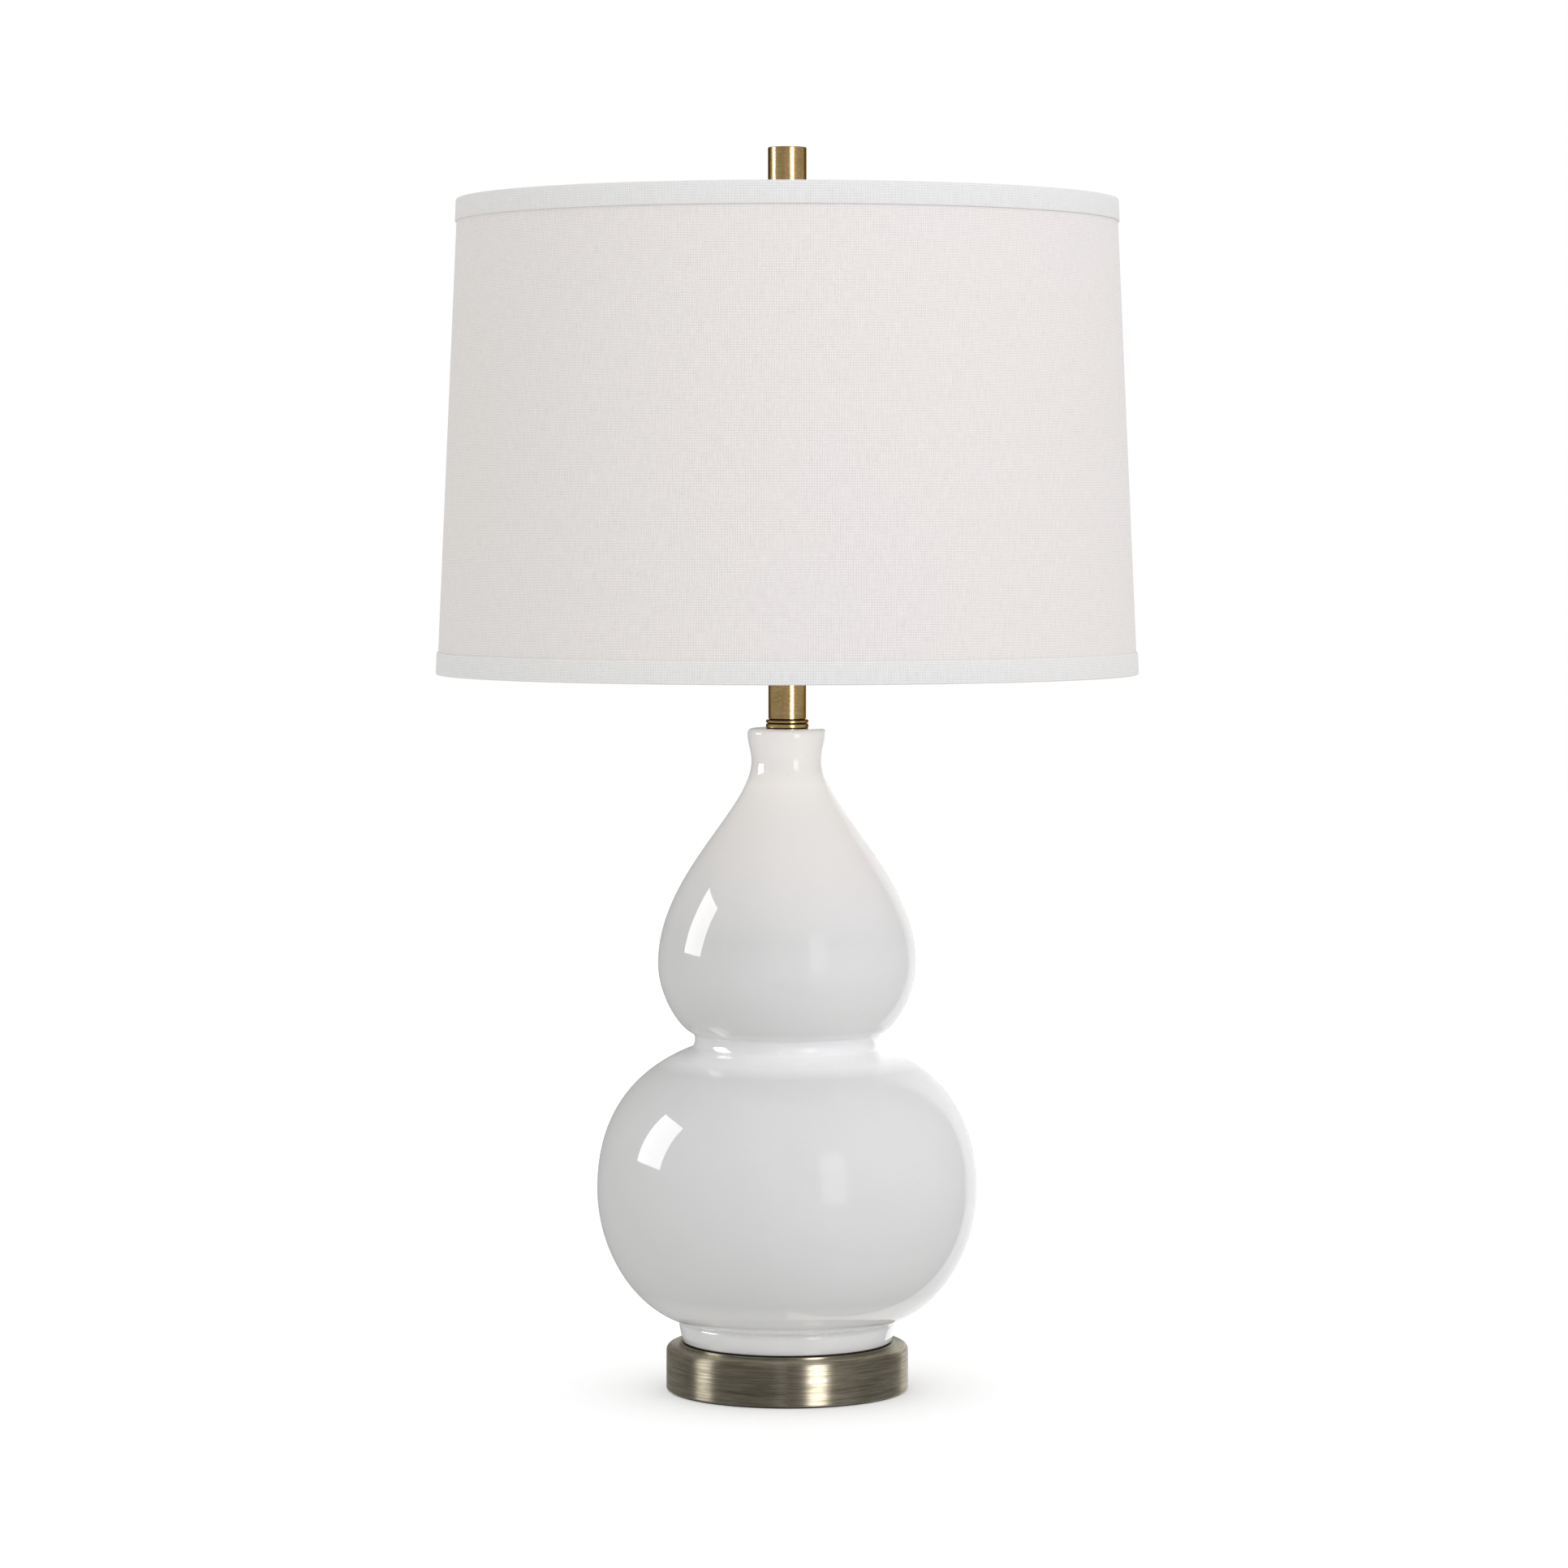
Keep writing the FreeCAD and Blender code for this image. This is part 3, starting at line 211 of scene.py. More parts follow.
def finished(name, bm, crease=35):
    """Turns a bmesh into an object with smooth faces and sharp edges."""
    bmesh.ops.remove_doubles(bm, verts=bm.verts, dist=0.002 * MM)
    bmesh.ops.recalc_face_normals(bm, faces=bm.faces)
    mesh = bpy.data.meshes.new(name)
    bm.to_mesh(mesh)
    bm.free()
    mesh.shade_smooth()
    mesh.set_sharp_from_angle(angle=math.radians(crease))
    piece = bpy.data.objects.new(name, mesh)
    bpy.context.scene.collection.objects.link(piece)
    return piece


def line_of(bm, outline, closed=True):
    """The vertices and edges of an outline in the XZ plane, given in millimetres."""
    verts = [bm.verts.new((point[0] * MM, 0, point[1] * MM)) for point in outline]
    pairs = list(zip(verts, verts[1:]))
    if closed:
        pairs.append((verts[-1], verts[0]))
    return verts + [bm.edges.new(pair) for pair in pairs]


def spin_full(bm, geometry, steps):
    """Turns geometry once round the upright axis."""
    bmesh.ops.spin(bm, geom=geometry, cent=(0, 0, 0), axis=UP, angle=TURN, steps=steps,
                   use_merge=True)
    bmesh.ops.remove_doubles(bm, verts=bm.verts, dist=0.002 * MM)


def turned(name, outline, steps=96, crease=35, place=None):
    """A piece turned on the lathe, moved afterwards by place."""
    bm = bmesh.new()
    spin_full(bm, line_of(bm, outline), steps)
    if place is not None:
        bmesh.ops.transform(bm, matrix=place, verts=bm.verts)
    return finished(name, bm, crease)


def joined(name, *pieces):
    """Several pieces made one."""
    bm = bmesh.new()
    for piece in pieces:
        bm.from_mesh(piece.data)
        bpy.data.objects.remove(piece)
    return finished(name, bm)


def rod_along(bm, corners, radius, sides=12, bend_steps=8):
    """A bent rod through corners in millimetres, each (x, y, z) or (x, y, z, bend radius)."""
    points = [Vector(corner[:3]) * MM for corner in corners]
    along = (points[1] - points[0]).normalized()
    ring = bmesh.ops.create_circle(bm, cap_ends=False, segments=sides, radius=radius * MM)["verts"]
    bmesh.ops.transform(bm, verts=ring, matrix=Matrix.Translation(points[0]) @
                        UP.rotation_difference(along).to_matrix().to_4x4())
    edges = list({edge for vert in ring for edge in vert.link_edges})
    bmesh.ops.contextual_create(bm, geom=edges)
    here = points[0]
    for i in range(1, len(points)):
        along = (points[i] - here).normalized()
        bend = corners[i][3] * MM if len(corners[i]) == 4 else 0
        stop = points[i]
        if bend:
            ahead = (points[i + 1] - points[i]).normalized()
            turn_angle = along.angle(ahead)
            stop = points[i] - along * bend * math.tan(turn_angle / 2)
        edges = extruded(bm, edges, stop - here)
        here = stop
        if bend:
            axis = along.cross(ahead).normalized()
            centre = stop + axis.cross(along) * bend
            spun = bmesh.ops.spin(bm, geom=edges, cent=centre, axis=axis, angle=turn_angle,
                                  steps=bend_steps)["geom_last"]
            edges = [item for item in spun if isinstance(item, bmesh.types.BMEdge)]
            here = points[i] + ahead * bend * math.tan(turn_angle / 2)
    bmesh.ops.contextual_create(bm, geom=edges)


def extruded(bm, edges, move):
    """Pulls a ring of edges along and returns the new ring."""
    found = bmesh.ops.extrude_edge_only(bm, edges=edges)["geom"]
    verts = [item for item in found if isinstance(item, bmesh.types.BMVert)]
    bmesh.ops.translate(bm, verts=verts, vec=move)
    return [item for item in found if isinstance(item, bmesh.types.BMEdge)
            and all(vert in verts for vert in item.verts)]


def threaded(name, root, crest, pitch, bottom, top, steps=40, place=None):
    """A screw thread, cut flat and closed at both ends."""
    bm = bmesh.new()
    quarter = pitch / 4
    start = bottom - pitch
    wave = [(root, start), (root, start + quarter), (crest, start + 2 * quarter),
            (crest, start + 3 * quarter), (root, start + pitch)]
    turns = math.ceil((top - bottom) / pitch) + 2
    bmesh.ops.spin(bm, geom=line_of(bm, wave, closed=False), cent=(0, 0, 0), axis=UP,
                   angle=TURN * turns, steps=steps * turns, dvec=(0, 0, pitch * MM / steps))
    bmesh.ops.remove_doubles(bm, verts=bm.verts, dist=0.002 * MM)
    for height, way in ((bottom, -1), (top, 1)):
        cut = bmesh.ops.bisect_plane(
            bm, geom=bm.verts[:] + bm.edges[:] + bm.faces[:], plane_co=(0, 0, height * MM),
            plane_no=UP * way, clear_outer=True)["geom_cut"]
        rim = [item for item in cut if isinstance(item, bmesh.types.BMEdge)]
        bmesh.ops.holes_fill(bm, edges=rim)
    if place is not None:
        bmesh.ops.transform(bm, matrix=place, verts=bm.verts)
    return finished(name, bm, 40)


# ---------------------------------------------------------------------------------------------
# Finishes


class Nodes:
    """A node tree while it is being made."""

    def __init__(self, tree):
        self.tree = tree

    def put(self, target, value):
        """Feeds a socket with another socket or a plain value."""
        if isinstance(value, bpy.types.NodeSocket):
            self.tree.links.new(value, target)
        else:
            target.default_value = value

    def node(self, kind, inputs=(), output=0, **settings):
        """Adds a node and returns one of its outputs."""
        made = self.tree.nodes.new("ShaderNode" + kind)
        for setting, value in settings.items():
            setattr(made, setting, value)
        for socket, value in dict(inputs).items():
            self.put(made.inputs[socket], value)
        return made.outputs[output]

    def math(self, operation, first, second=0.0, third=0.0):
        """One sum on two or three values."""
        return self.node("Math", {0: first, 1: second, 2: third}, operation=operation)

    def apart(self, vector):
        """The three parts of a vector."""
        made = self.tree.nodes.new("ShaderNodeSeparateXYZ")
        self.put(made.inputs[0], vector)
        return made.outputs

    def place(self):
        """Where a point lies on the piece."""
        return self.node("TexCoord", output="Object")

    def round_place(self, along=1.0, outwards=1.0, upwards=1.0):
        """The same as angle, radius and height, each stretched by its factor."""
        x, y, z = self.apart(self.place())
        angle = self.math("ARCTAN2", x, y)
        radius = self.math("SQRT", self.math("ADD", self.math("MULTIPLY", x, x),
                                             self.math("MULTIPLY", y, y)))
        return self.node("CombineXYZ", {
            0: self.math("MULTIPLY", angle, along), 1: self.math("MULTIPLY", radius, outwards),
            2: self.math("MULTIPLY", z, upwards)})

    def noise(self, where, scale, detail=3.0, roughness=0.5, stretch=None):
        """Even noise from 0 to 1."""
        if stretch is not None:
            where = self.node("VectorMath", {0: where, 1: stretch}, operation="MULTIPLY")
        return self.node("TexNoise", {"Vector": where, "Scale": scale, "Detail": detail,
                                      "Roughness": roughness})

    def spread(self, value, start, end, low_end=0.0, high_end=1.0):
        """Maps one span of values onto another."""
        return self.node("MapRange", {0: value, 1: start, 2: end, 3: low_end, 4: high_end})

    def blend(self, factor, first, second):
        """A colour between two others."""
        made = self.tree.nodes.new("ShaderNodeMix")
        made.data_type = "RGBA"
        self.put(made.inputs["Factor"], factor)
        self.put(made.inputs[6], first)
        self.put(made.inputs[7], second)
        return made.outputs[2]

    def edge_on(self, start, end):
        """Rises to 1 where a face is seen from its side."""
        return self.spread(self.node("LayerWeight", {"Blend": 0.5}, output="Facing"), start, end)


class Finish(Nodes):
    """A material while it is being made: its shader and the nodes that feed it."""

    def __init__(self, name, **settings):
        self.material = bpy.data.materials.new(name)
        self.material.use_nodes = True
        super().__init__(self.material.node_tree)
        self.shader = self.tree.nodes["Principled BSDF"]
        self.shader.inputs["Subsurface Radius"].default_value = (1, 1, 1)
        for socket, value in settings.items():
            self.shader.inputs[socket.replace("_", " ")].default_value = value

    def bump(self, height, strength, distance):
        """Adds relief to the shader, on top of any that it has."""
        normal = self.shader.inputs["Normal"]
        made = self.tree.nodes.new("ShaderNodeBump")
        made.inputs["Strength"].default_value = strength
        made.inputs["Distance"].default_value = distance * MM
        self.put(made.inputs["Height"], height)
        if normal.is_linked:
            self.put(made.inputs["Normal"], normal.links[0].from_socket)
        self.put(normal, made.outputs[0])

    def feed(self, socket, value):
        """Feeds one of the shader's sockets."""
        self.put(self.shader.inputs[socket], value)


def solid(rgb):
    """A colour property as red, green, blue and full opacity."""
    return (*rgb, 1.0)


def dimmed(rgb, kept):
    """A darker colour of the same hue, with this share of its brightness kept."""
    return solid([channel * kept for channel in rgb])


FINISHES = {}


def finish_once(make):
    """Makes each material once, however many pieces wear it."""
    def remembered():
        if make.__name__ not in FINISHES:
            FINISHES[make.__name__] = make().material
        return FINISHES[make.__name__]
    return remembered


def brushed_brass(name, bright, dark, roughness, edge):
    """Antique brass with brush lines that run round the axis."""
    finish = Finish(name, Metallic=1.0, Anisotropic=0.95, Anisotropic_Rotation=0.25,
                    Specular_Tint=(*edge, 1))
    fine = finish.noise(finish.round_place(3.5, 2600, 2600), 1.0, 5.0, 0.7)
    broad = finish.noise(finish.round_place(0.9, 900, 900), 1.0, 2.0)
    cloud = finish.noise(finish.place(), 38.0, 4.0, 0.6)
    lines = finish.math("ADD", finish.math("MULTIPLY", fine, 0.8),
                        finish.math("MULTIPLY", broad, 0.2))
    wear = finish.math("ADD", lines, finish.math("MULTIPLY", cloud, 0.15))
    finish.colour = finish.blend(finish.spread(wear, 0.46, 0.70), solid(dark), solid(bright))
    finish.feed("Base Color", finish.colour)
    finish.feed("Roughness", finish.spread(lines, 0.35, 0.65, roughness + 0.05, roughness - 0.04))
    finish.feed("Tangent", finish.node("Tangent", direction_type="RADIAL", axis="Z"))
    finish.bump(fine, 0.10, 0.03)
    return finish


@finish_once
def antique_brass():
    """The finial and the harp's fittings, with painted shade where a face is seen from its side."""
    brass = bpy.context.scene.lamp_brass
    finish = brushed_brass("antique_brass", brass.bright, brass.dark, brass.dullness, brass.dark)
    # painted shade: the colour turns nearly black where a face is seen from its side
    finish.feed("Base Color", finish.blend(finish.edge_on(0.42, 0.62), finish.colour,
                                           dimmed(brass.dark, 0.15)))
    return finish


@finish_once
def neck_brass():
    """The neck, with tarnish and painted shade in the grooves and at the joins of its collar, and
    painted shade where a face is seen from its side.
    """
    brass = bpy.context.scene.lamp_brass
    finish = brushed_brass("neck_brass", brass.bright, brass.dark, brass.dullness, brass.dark)
    _, radius, height = finish.apart(finish.round_place())
    bottom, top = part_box("neck_collar")[0].z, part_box("neck_collar")[1].z
    edge = reach("neck_collar") * MM
    # painted shade, partly tarnish: nearly black where a face is seen from its side, in the groove
    # between the beads and at the foot of the tube
    patina_and_painted_shade = finish.math("MAXIMUM", finish.edge_on(0.42, 0.70), finish.math(
        "MULTIPLY", finish.spread(radius, edge - 0.9 * MM, edge - 0.3 * MM, 1, 0),
        finish.spread(height, top + 0.2 * MM, top + 0.8 * MM, 1, 0)))
    # painted shade, partly tarnish: dark bands at the collar's lower edge, between its beads and at
    # its top
    for groove in (bottom, bottom + 2.65 * MM, top):
        off = finish.math("ABSOLUTE", finish.math("SUBTRACT", height, groove))
        patina_and_painted_shade = finish.math("MAXIMUM", patina_and_painted_shade, finish.spread(off, 0.35 * MM, 0.75 * MM, 1, 0))
    finish.feed("Base Color", finish.blend(patina_and_painted_shade, finish.colour,
                                           dimmed(brass.dark, 0.12)))
    return finish


@finish_once
def base_brass():
    """The base, greyer than the neck, with a painted shadow that makes it nearly black under the
    ceramic foot.
    """
    brass = bpy.context.scene.lamp_brass
    finish = brushed_brass("base_brass", brass.base_bright, brass.base_dark, brass.dullness,
                           (0.75, 0.74, 0.70))
    radius = finish.apart(finish.round_place())[1]
    # painted shadow: nearly black inside the seat's edge, under the ceramic foot
    seat = finish.spread(radius, (SEAT - 1.1) * MM, (SEAT - 0.4) * MM, 1, 0)
    finish.feed("Base Color", finish.blend(seat, finish.colour, dimmed(brass.base_dark, 0.06)))
    return finish


@finish_once
def holder_brass():
    """Thin lacquered sheet brass with faint finger marks."""
    brass = bpy.context.scene.lamp_brass
    finish = Finish("holder_brass", Metallic=1.0, Coat_Weight=0.3, Coat_Roughness=0.15)
    cloud = finish.noise(finish.place(), 60.0, 5.0, 0.65)
    dots = finish.noise(finish.place(), 900.0, 2.0)
    finish.feed("Base Color", finish.blend(finish.spread(cloud, 0.35, 0.7),
                                           dimmed(brass.plain, 0.62), solid(brass.plain)))
    finish.feed("Roughness", finish.spread(cloud, 0.3, 0.7, 0.34, 0.18))
    finish.bump(dots, 0.05, 0.05)
    return finish


@finish_once
def white_glaze():
    """Thick glossy glaze, glossier in the crease, above the foot and round the lip, with painted
    light that makes it paler in the crease and above the foot, and paler and warmer round the neck.
    """
    glaze = bpy.context.scene.lamp_glaze
    finish = Finish("white_glaze", IOR=1.5, Coat_IOR=1.9, Coat_Roughness=0.04,
                    Subsurface_Weight=0.05, Subsurface_Scale=0.004)
    cloud = finish.noise(finish.place(), 14.0, 4.0, 0.55)
    pits = finish.noise(finish.place(), 420.0, 1.0)
    tone = finish.blend(finish.spread(cloud, 0.35, 0.65), dimmed(glaze.tint, 0.975),
                        solid(glaze.tint))
    level = finish.apart(finish.place())[2]
    bottom, top = (corner.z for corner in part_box("gourd_body"))
    # painted light: paler and warmer towards the neck, where the shade keeps light off
    tone = finish.blend(finish.spread(level, top - 0.11, top - 0.03), tone, solid(glaze.neck))
    crease = finish.math("ABSOLUTE", finish.math("SUBTRACT", level, bottom + CREASE[0][1][1] * MM))
    # painted light: paler in the crease and above the foot, where shade gathers
    hollow = finish.math("MAXIMUM", finish.spread(crease, 0.003, 0.011, 1, 0),
                         finish.spread(level, bottom + 0.010, bottom + 0.030, 1, 0))
    tone = finish.blend(hollow, tone, solid(glaze.pale_glaze))
    finish.feed("Coat Weight", finish.math("MAXIMUM", finish.spread(hollow, 0.6, 1.0),
                                           finish.spread(level, top - 0.030, top - 0.022)))
    pores = finish.spread(pits, 0.80, 0.84)
    tone = finish.blend(pores, tone, dimmed(glaze.pale_glaze, 0.8))
    finish.feed("Base Color", tone)
    finish.feed("Roughness", finish.spread(cloud, 0.3, 0.7, glaze.gloss, glaze.gloss + 0.02))
    finish.bump(finish.noise(finish.place(), 26.0, 2.0), 0.05, 1.2)
    return finish


def linen(name, cloth, shadow, thread):
    """Plain weave that follows the piece's own unrolled map, in metres."""
    finish = Finish(name, Roughness=0.92, Sheen_Weight=0.12, Sheen_Roughness=0.5,
                    Specular_IOR_Level=0.2)
    flat = finish.node("UVMap", uv_map="Unrolled")
    across, up, _ = finish.apart(flat)
    turns = math.pi / thread
    warp = finish.math("ABSOLUTE", finish.math("SINE", finish.math("MULTIPLY", across, turns)))
    weft = finish.math("ABSOLUTE", finish.math("SINE", finish.math("MULTIPLY", up, turns)))
    checks = finish.node("TexChecker", {"Vector": flat, "Scale": 1 / thread}, output="Fac")
    over = finish.node("Mix", {"Factor": checks, 2: warp, 3: weft})
    thick_warp = finish.noise(flat, 1.0, 2.0, stretch=(1050, 120, 0))
    thick_weft = finish.noise(flat, 1.0, 2.0, stretch=(150, 1050, 0))
    slubs = finish.math("ADD", finish.math("MULTIPLY", thick_warp, 0.26),
                        finish.math("MULTIPLY", thick_weft, 0.18))
    depth = finish.math("ADD", finish.math("MULTIPLY", over, 0.70), slubs)
    gaps = [full * part for full, part in zip(cloth, shadow)]
    blotch = finish.noise(finish.place(), 6.0, 2.0)
    warm = [cloth[0], cloth[1] * 0.992, cloth[2] * 0.972]
    face = finish.blend(finish.spread(blotch, 0.35, 0.65), solid(cloth), solid(warm))
    finish.feed("Base Color", finish.blend(finish.spread(depth, 0.34, 0.90), solid(gaps), face))
    finish.bump(depth, 0.2, 0.12)
    return finish


@finish_once
def shade_linen():
    """The shade's cover."""
    shade = bpy.context.scene.lamp_shade
    return linen("shade_linen", shade.cloth, shade.shadow, shade.thread)


@finish_once
def tape_linen():
    """The tape over the rims, cooler than the cover."""
    shade = bpy.context.scene.lamp_shade
    return linen("tape_linen", shade.tape_cloth, shade.shadow, shade.thread)


@finish_once
def lining_sheet():
    """Translucent white plastic sheet with a fine grain."""
    shade = bpy.context.scene.lamp_shade
    finish = Finish("lining_sheet", Roughness=0.45, Subsurface_Weight=0.3, Subsurface_Scale=0.002)
    grain = finish.noise(finish.place(), 700.0, 2.0)
    cloud = finish.noise(finish.place(), 11.0, 3.0)
    finish.feed("Base Color", finish.blend(finish.spread(cloud, 0.35, 0.65),
                                           dimmed(shade.lining, 0.94), solid(shade.lining)))
    finish.bump(grain, 0.08, 0.1)
    return finish


def speckled(name, first, second, scale, relief, distance=0.1, spread=(0.35, 0.65), **settings):
    """A plain material with mottled colour and an even fine relief."""
    finish = Finish(name, **settings)
    cloud = finish.noise(finish.place(), scale, 5.0, 0.6)
    finish.feed("Base Color", finish.blend(finish.spread(cloud, *spread), solid(first),
                                           solid(second)))
    finish.bump(finish.noise(finish.place(), scale * 4, 3.0), relief, distance)
    return finish


@finish_once
def zinc_steel():
    """Zinc-plated steel."""
    return speckled("zinc_steel", (0.40, 0.41, 0.42), (0.60, 0.61, 0.60), 140.0, 0.08,
                    Metallic=1.0, Roughness=0.34)


@finish_once
def rough_iron():
    """Black painted sand-cast iron."""
    return speckled("rough_iron", (0.018, 0.018, 0.018), (0.05, 0.048, 0.045), 260.0, 0.7, 0.5,
                    Roughness=0.75, Metallic=0.4)


@finish_once
def black_felt():
    """Pressed black felt."""
    finish = speckled("black_felt", (0.012, 0.012, 0.013), (0.035, 0.035, 0.036), 700.0, 0.8, 0.5,
                      Roughness=1.0, Sheen_Weight=0.4, Sheen_Roughness=0.6)
    finish.bump(finish.noise(finish.place(), 90.0, 4.0), 0.3, 0.6)
    return finish


@finish_once
def black_rubber():
    """Matte rubber."""
    return speckled("black_rubber", (0.014, 0.014, 0.014), (0.03, 0.03, 0.03), 320.0, 0.25,
                    Roughness=0.85)


@finish_once
def black_moulding():
    """Black moulded plastic with a fine spark-eroded grain."""
    return speckled("black_moulding", (0.012, 0.012, 0.013), (0.024, 0.024, 0.025), 520.0, 0.18,
                    Roughness=0.38)


@finish_once
def brown_fibre():
    """Vulcanised fibre sheet."""
    return speckled("brown_fibre", (0.10, 0.055, 0.028), (0.20, 0.12, 0.065), 210.0, 0.3,
                    Roughness=0.8)


@finish_once
def spun_aluminium():
    """Thin aluminium, drawn on a lathe."""
    finish = Finish("spun_aluminium", Metallic=1.0, Anisotropic=0.4, Anisotropic_Rotation=0.25)
    rings = finish.noise(finish.round_place(0.5, 900, 900), 1.0, 3.0)
    finish.feed("Base Color", finish.blend(rings, (0.55, 0.55, 0.56, 1), (0.84, 0.84, 0.85, 1)))
    finish.feed("Roughness", finish.spread(rings, 0.3, 0.7, 0.36, 0.2))
    finish.bump(rings, 0.08, 0.04)
    return finish


@finish_once
def black_vitrite():
    """Glossy black glass."""
    return speckled("black_vitrite", (0.006, 0.006, 0.008), (0.014, 0.014, 0.018), 90.0, 0.05,
                    Roughness=0.08)


@finish_once
def frosted_glass():
    """White-coated bulb glass."""
    finish = Finish("frosted_glass", Roughness=0.32, Coat_Weight=0.6, Coat_Roughness=0.12,
                    Subsurface_Weight=0.4, Subsurface_Scale=0.003)
    cloud = finish.noise(finish.place(), 24.0, 4.0)
    finish.feed("Base Color", finish.blend(finish.spread(cloud, 0.3, 0.7), (0.78, 0.78, 0.76, 1),
                                           (0.86, 0.86, 0.845, 1)))
    finish.bump(finish.noise(finish.place(), 1200.0, 1.0), 0.04, 0.03)
    return finish


def dress(piece, finish, slot, body, *nodes):
    """Gives a piece its material and body, and hides the nodes that it stands for; its slot is not
    used.
    """
    piece.data.materials.append(finish)
    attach(piece, body)
    if nodes:
        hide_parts(*nodes)
    return piece


def repaint(finish, *nodes):
    """Gives carried-over nodes a better material."""
    for node in nodes:
        for place in frame["nodes"][node].material_slots:
            place.material = finish


# ---------------------------------------------------------------------------------------------
# Pieces


def unroll(piece, radius):
    """Adds the map of a turned piece laid flat, in metres, with its join at the back."""
    bm = bmesh.new()
    bm.from_mesh(piece.data)
    layer = bm.loops.layers.uv.new("Unrolled")
    for face in bm.faces:
        middle = face.calc_center_median()
        around = math.atan2(middle.x, -middle.y)
        for loop in face.loops:
            here = loop.vert.co
            angle = math.atan2(here.x, -here.y)
            angle += TURN * round((around - angle) / TURN)
            depth = radius - math.hypot(here.x, here.y)
            loop[layer].uv = (angle * radius, here.z + depth * abs(face.normal.z))
    bm.to_mesh(piece.data)
    bm.free()


# the ceramic outline, in millimetres above the foot's lower edge: (radius, height) poles
FOOT = [[(55.1, 0), (56.1, 0), (56.3, 1.0)], [(57.76, 8.13), (58.0, 9.3), (57.39, 10.33)],
        [(57.39, 10.33), (57.0, 11.0)]]
LOWER_BULB = [[(57.0, 11.0), (81.0, 17.5), (101.75, 47.2), (101.75, 81.8)],
              [(101.75, 81.8), (101.75, 124.5), (78.5, 146.2), (51.5, 156.6)]]
CREASE = [[(51.5, 156.6), (49.07, 157.53), (48.64, 163.61), (51.0, 164.7)]]
UPPER_BULB = [[(51.0, 164.7), (59.4, 168.6), (69.25, 186.4), (69.25, 201.8)],
              [(69.25, 201.8), (69.25, 249.4), (19.1, 284.7), (19.1, 309.8)]]
LIP = [[(19.1, 309.8), (19.1, 315.8), (21.2, 318.8), (21.2, 324.8)],
       [(21.2, 324.8), (21.2, 326.35), (19.95, 327.6), (18.4, 327.6)]]
MOUTH_BORE = 6.5
FLOOR_BORE = 12.0


class LAMP_OT_ceramic_gourd(bpy.types.Operator):
    """Turns the glazed ceramic body"""
    bl_idname = "lamp.ceramic_gourd"
    bl_label = "Ceramic Body"

    def execute(self, context):
        foot = low("gourd_body")
        outside = [Vector((FLOOR_BORE, 0))]
        for curve in FOOT:
            if outside[-1] != Vector(curve[0]):
                outside.append(Vector(curve[0]))
            outside += bezier(curve, 5)
        for curve in LOWER_BULB + CREASE:
            outside += bezier(curve, 36 if curve not in CREASE else 12)
        for curve in UPPER_BULB:
            outside += bezier(curve, 36)
        for curve in LIP:
            outside += bezier(curve, 12)
        outside.append(Vector((MOUTH_BORE, outside[-1].y)))
        inside = inside_of(outside, context.scene.lamp_glaze.wall / MM)
        outline = [Vector((r, z + foot)) for r, z in outside + inside[::-1]]
        piece = turned("ceramic_gourd", outline, steps=160, crease=50)
        dress(piece, white_glaze(), "white_glaze", "lamp_body", "gourd_body")
        return {"FINISHED"}


# radii in millimetres: the base's raised seat, and the rooms for the pipe and the stud
SEAT = 57.6
PIPE_ROOM = 5.05
STUD_ROOM = 3.2


class LAMP_OT_brass_base(bpy.types.Operator):
    """Turns the brass drum and lays the felt under it"""
    bl_idname = "lamp.brass_base"
    bl_label = "Brass Base"

    def execute(self, context):
        radius, top = reach("base_drum"), high("base_drum")
        rise, wall, hole = 1.2, 1.2, 5.6
        flat, rim, inner = top - rise, low("base_drum"), radius - wall
        drum = turned("brass_base", rounded([
            (radius, rim, 0.8), (radius, flat, 3.2), (SEAT, flat, 0.25), (SEAT, top, 0.35),
            (hole, top), (hole, top - wall), (SEAT - wall, top - wall),
            (SEAT - wall, flat - wall), (inner, flat - wall, 2.0), (inner, rim)]), steps=180)
        dress(drum, base_brass(), "antique_brass", "lamp_body", "base_drum")
        pad = reach("felt_pad")
        felt = turned("felt_disc", rounded([
            (0, 0), (pad, 0, 0.5), (pad, high("felt_pad"), 0.5), (0, high("felt_pad"))]))
        dress(felt, black_felt(), "felt", "lamp_body", "felt_pad")
        return {"FINISHED"}


class LAMP_OT_brass_neck(bpy.types.Operator):
    """Turns the beaded collar, the neck tube and the check ring"""
    bl_idname = "lamp.brass_neck"
    bl_label = "Brass Neck"

    def execute(self, context):
        bottom, top, radius = low("neck_collar"), high("neck_collar"), reach("neck_collar")
        bead = bottom + 2.5
        collar = turned("beaded_collar", rounded([
            (PIPE_ROOM, bottom), (radius, bottom, 0.8), (radius, bead, 0.8), (radius - 1, bead),
            (radius - 1, bead + 0.3), (radius, bead + 0.3, 0.8), (radius, top, 0.8),
            (PIPE_ROOM, top)]))
        dress(collar, neck_brass(), "antique_brass", "lamp_body", "neck_collar")
        neck, top_end = reach("neck_tube"), high("neck_tube")
        tube = turned("neck_sleeve", rounded([
            (neck - 1, top), (neck - 0.5, top), (neck - 0.5, top + 0.5), (neck, top + 0.5, 0.2),
            (neck, top_end, 0.2), (neck - 1, top_end)]))
        dress(tube, neck_brass(), "antique_brass", "lamp_body", "neck_tube")
        ring = reach("check_ring")
        check = turned("check_washer", rounded([
            (PIPE_ROOM, top_end), (ring, top_end, 0.5), (ring, high("check_ring"), 0.5),
            (PIPE_ROOM, high("check_ring"))]))
        dress(check, antique_brass(), "antique_brass", "lamp_body", "check_ring")
        return {"FINISHED"}


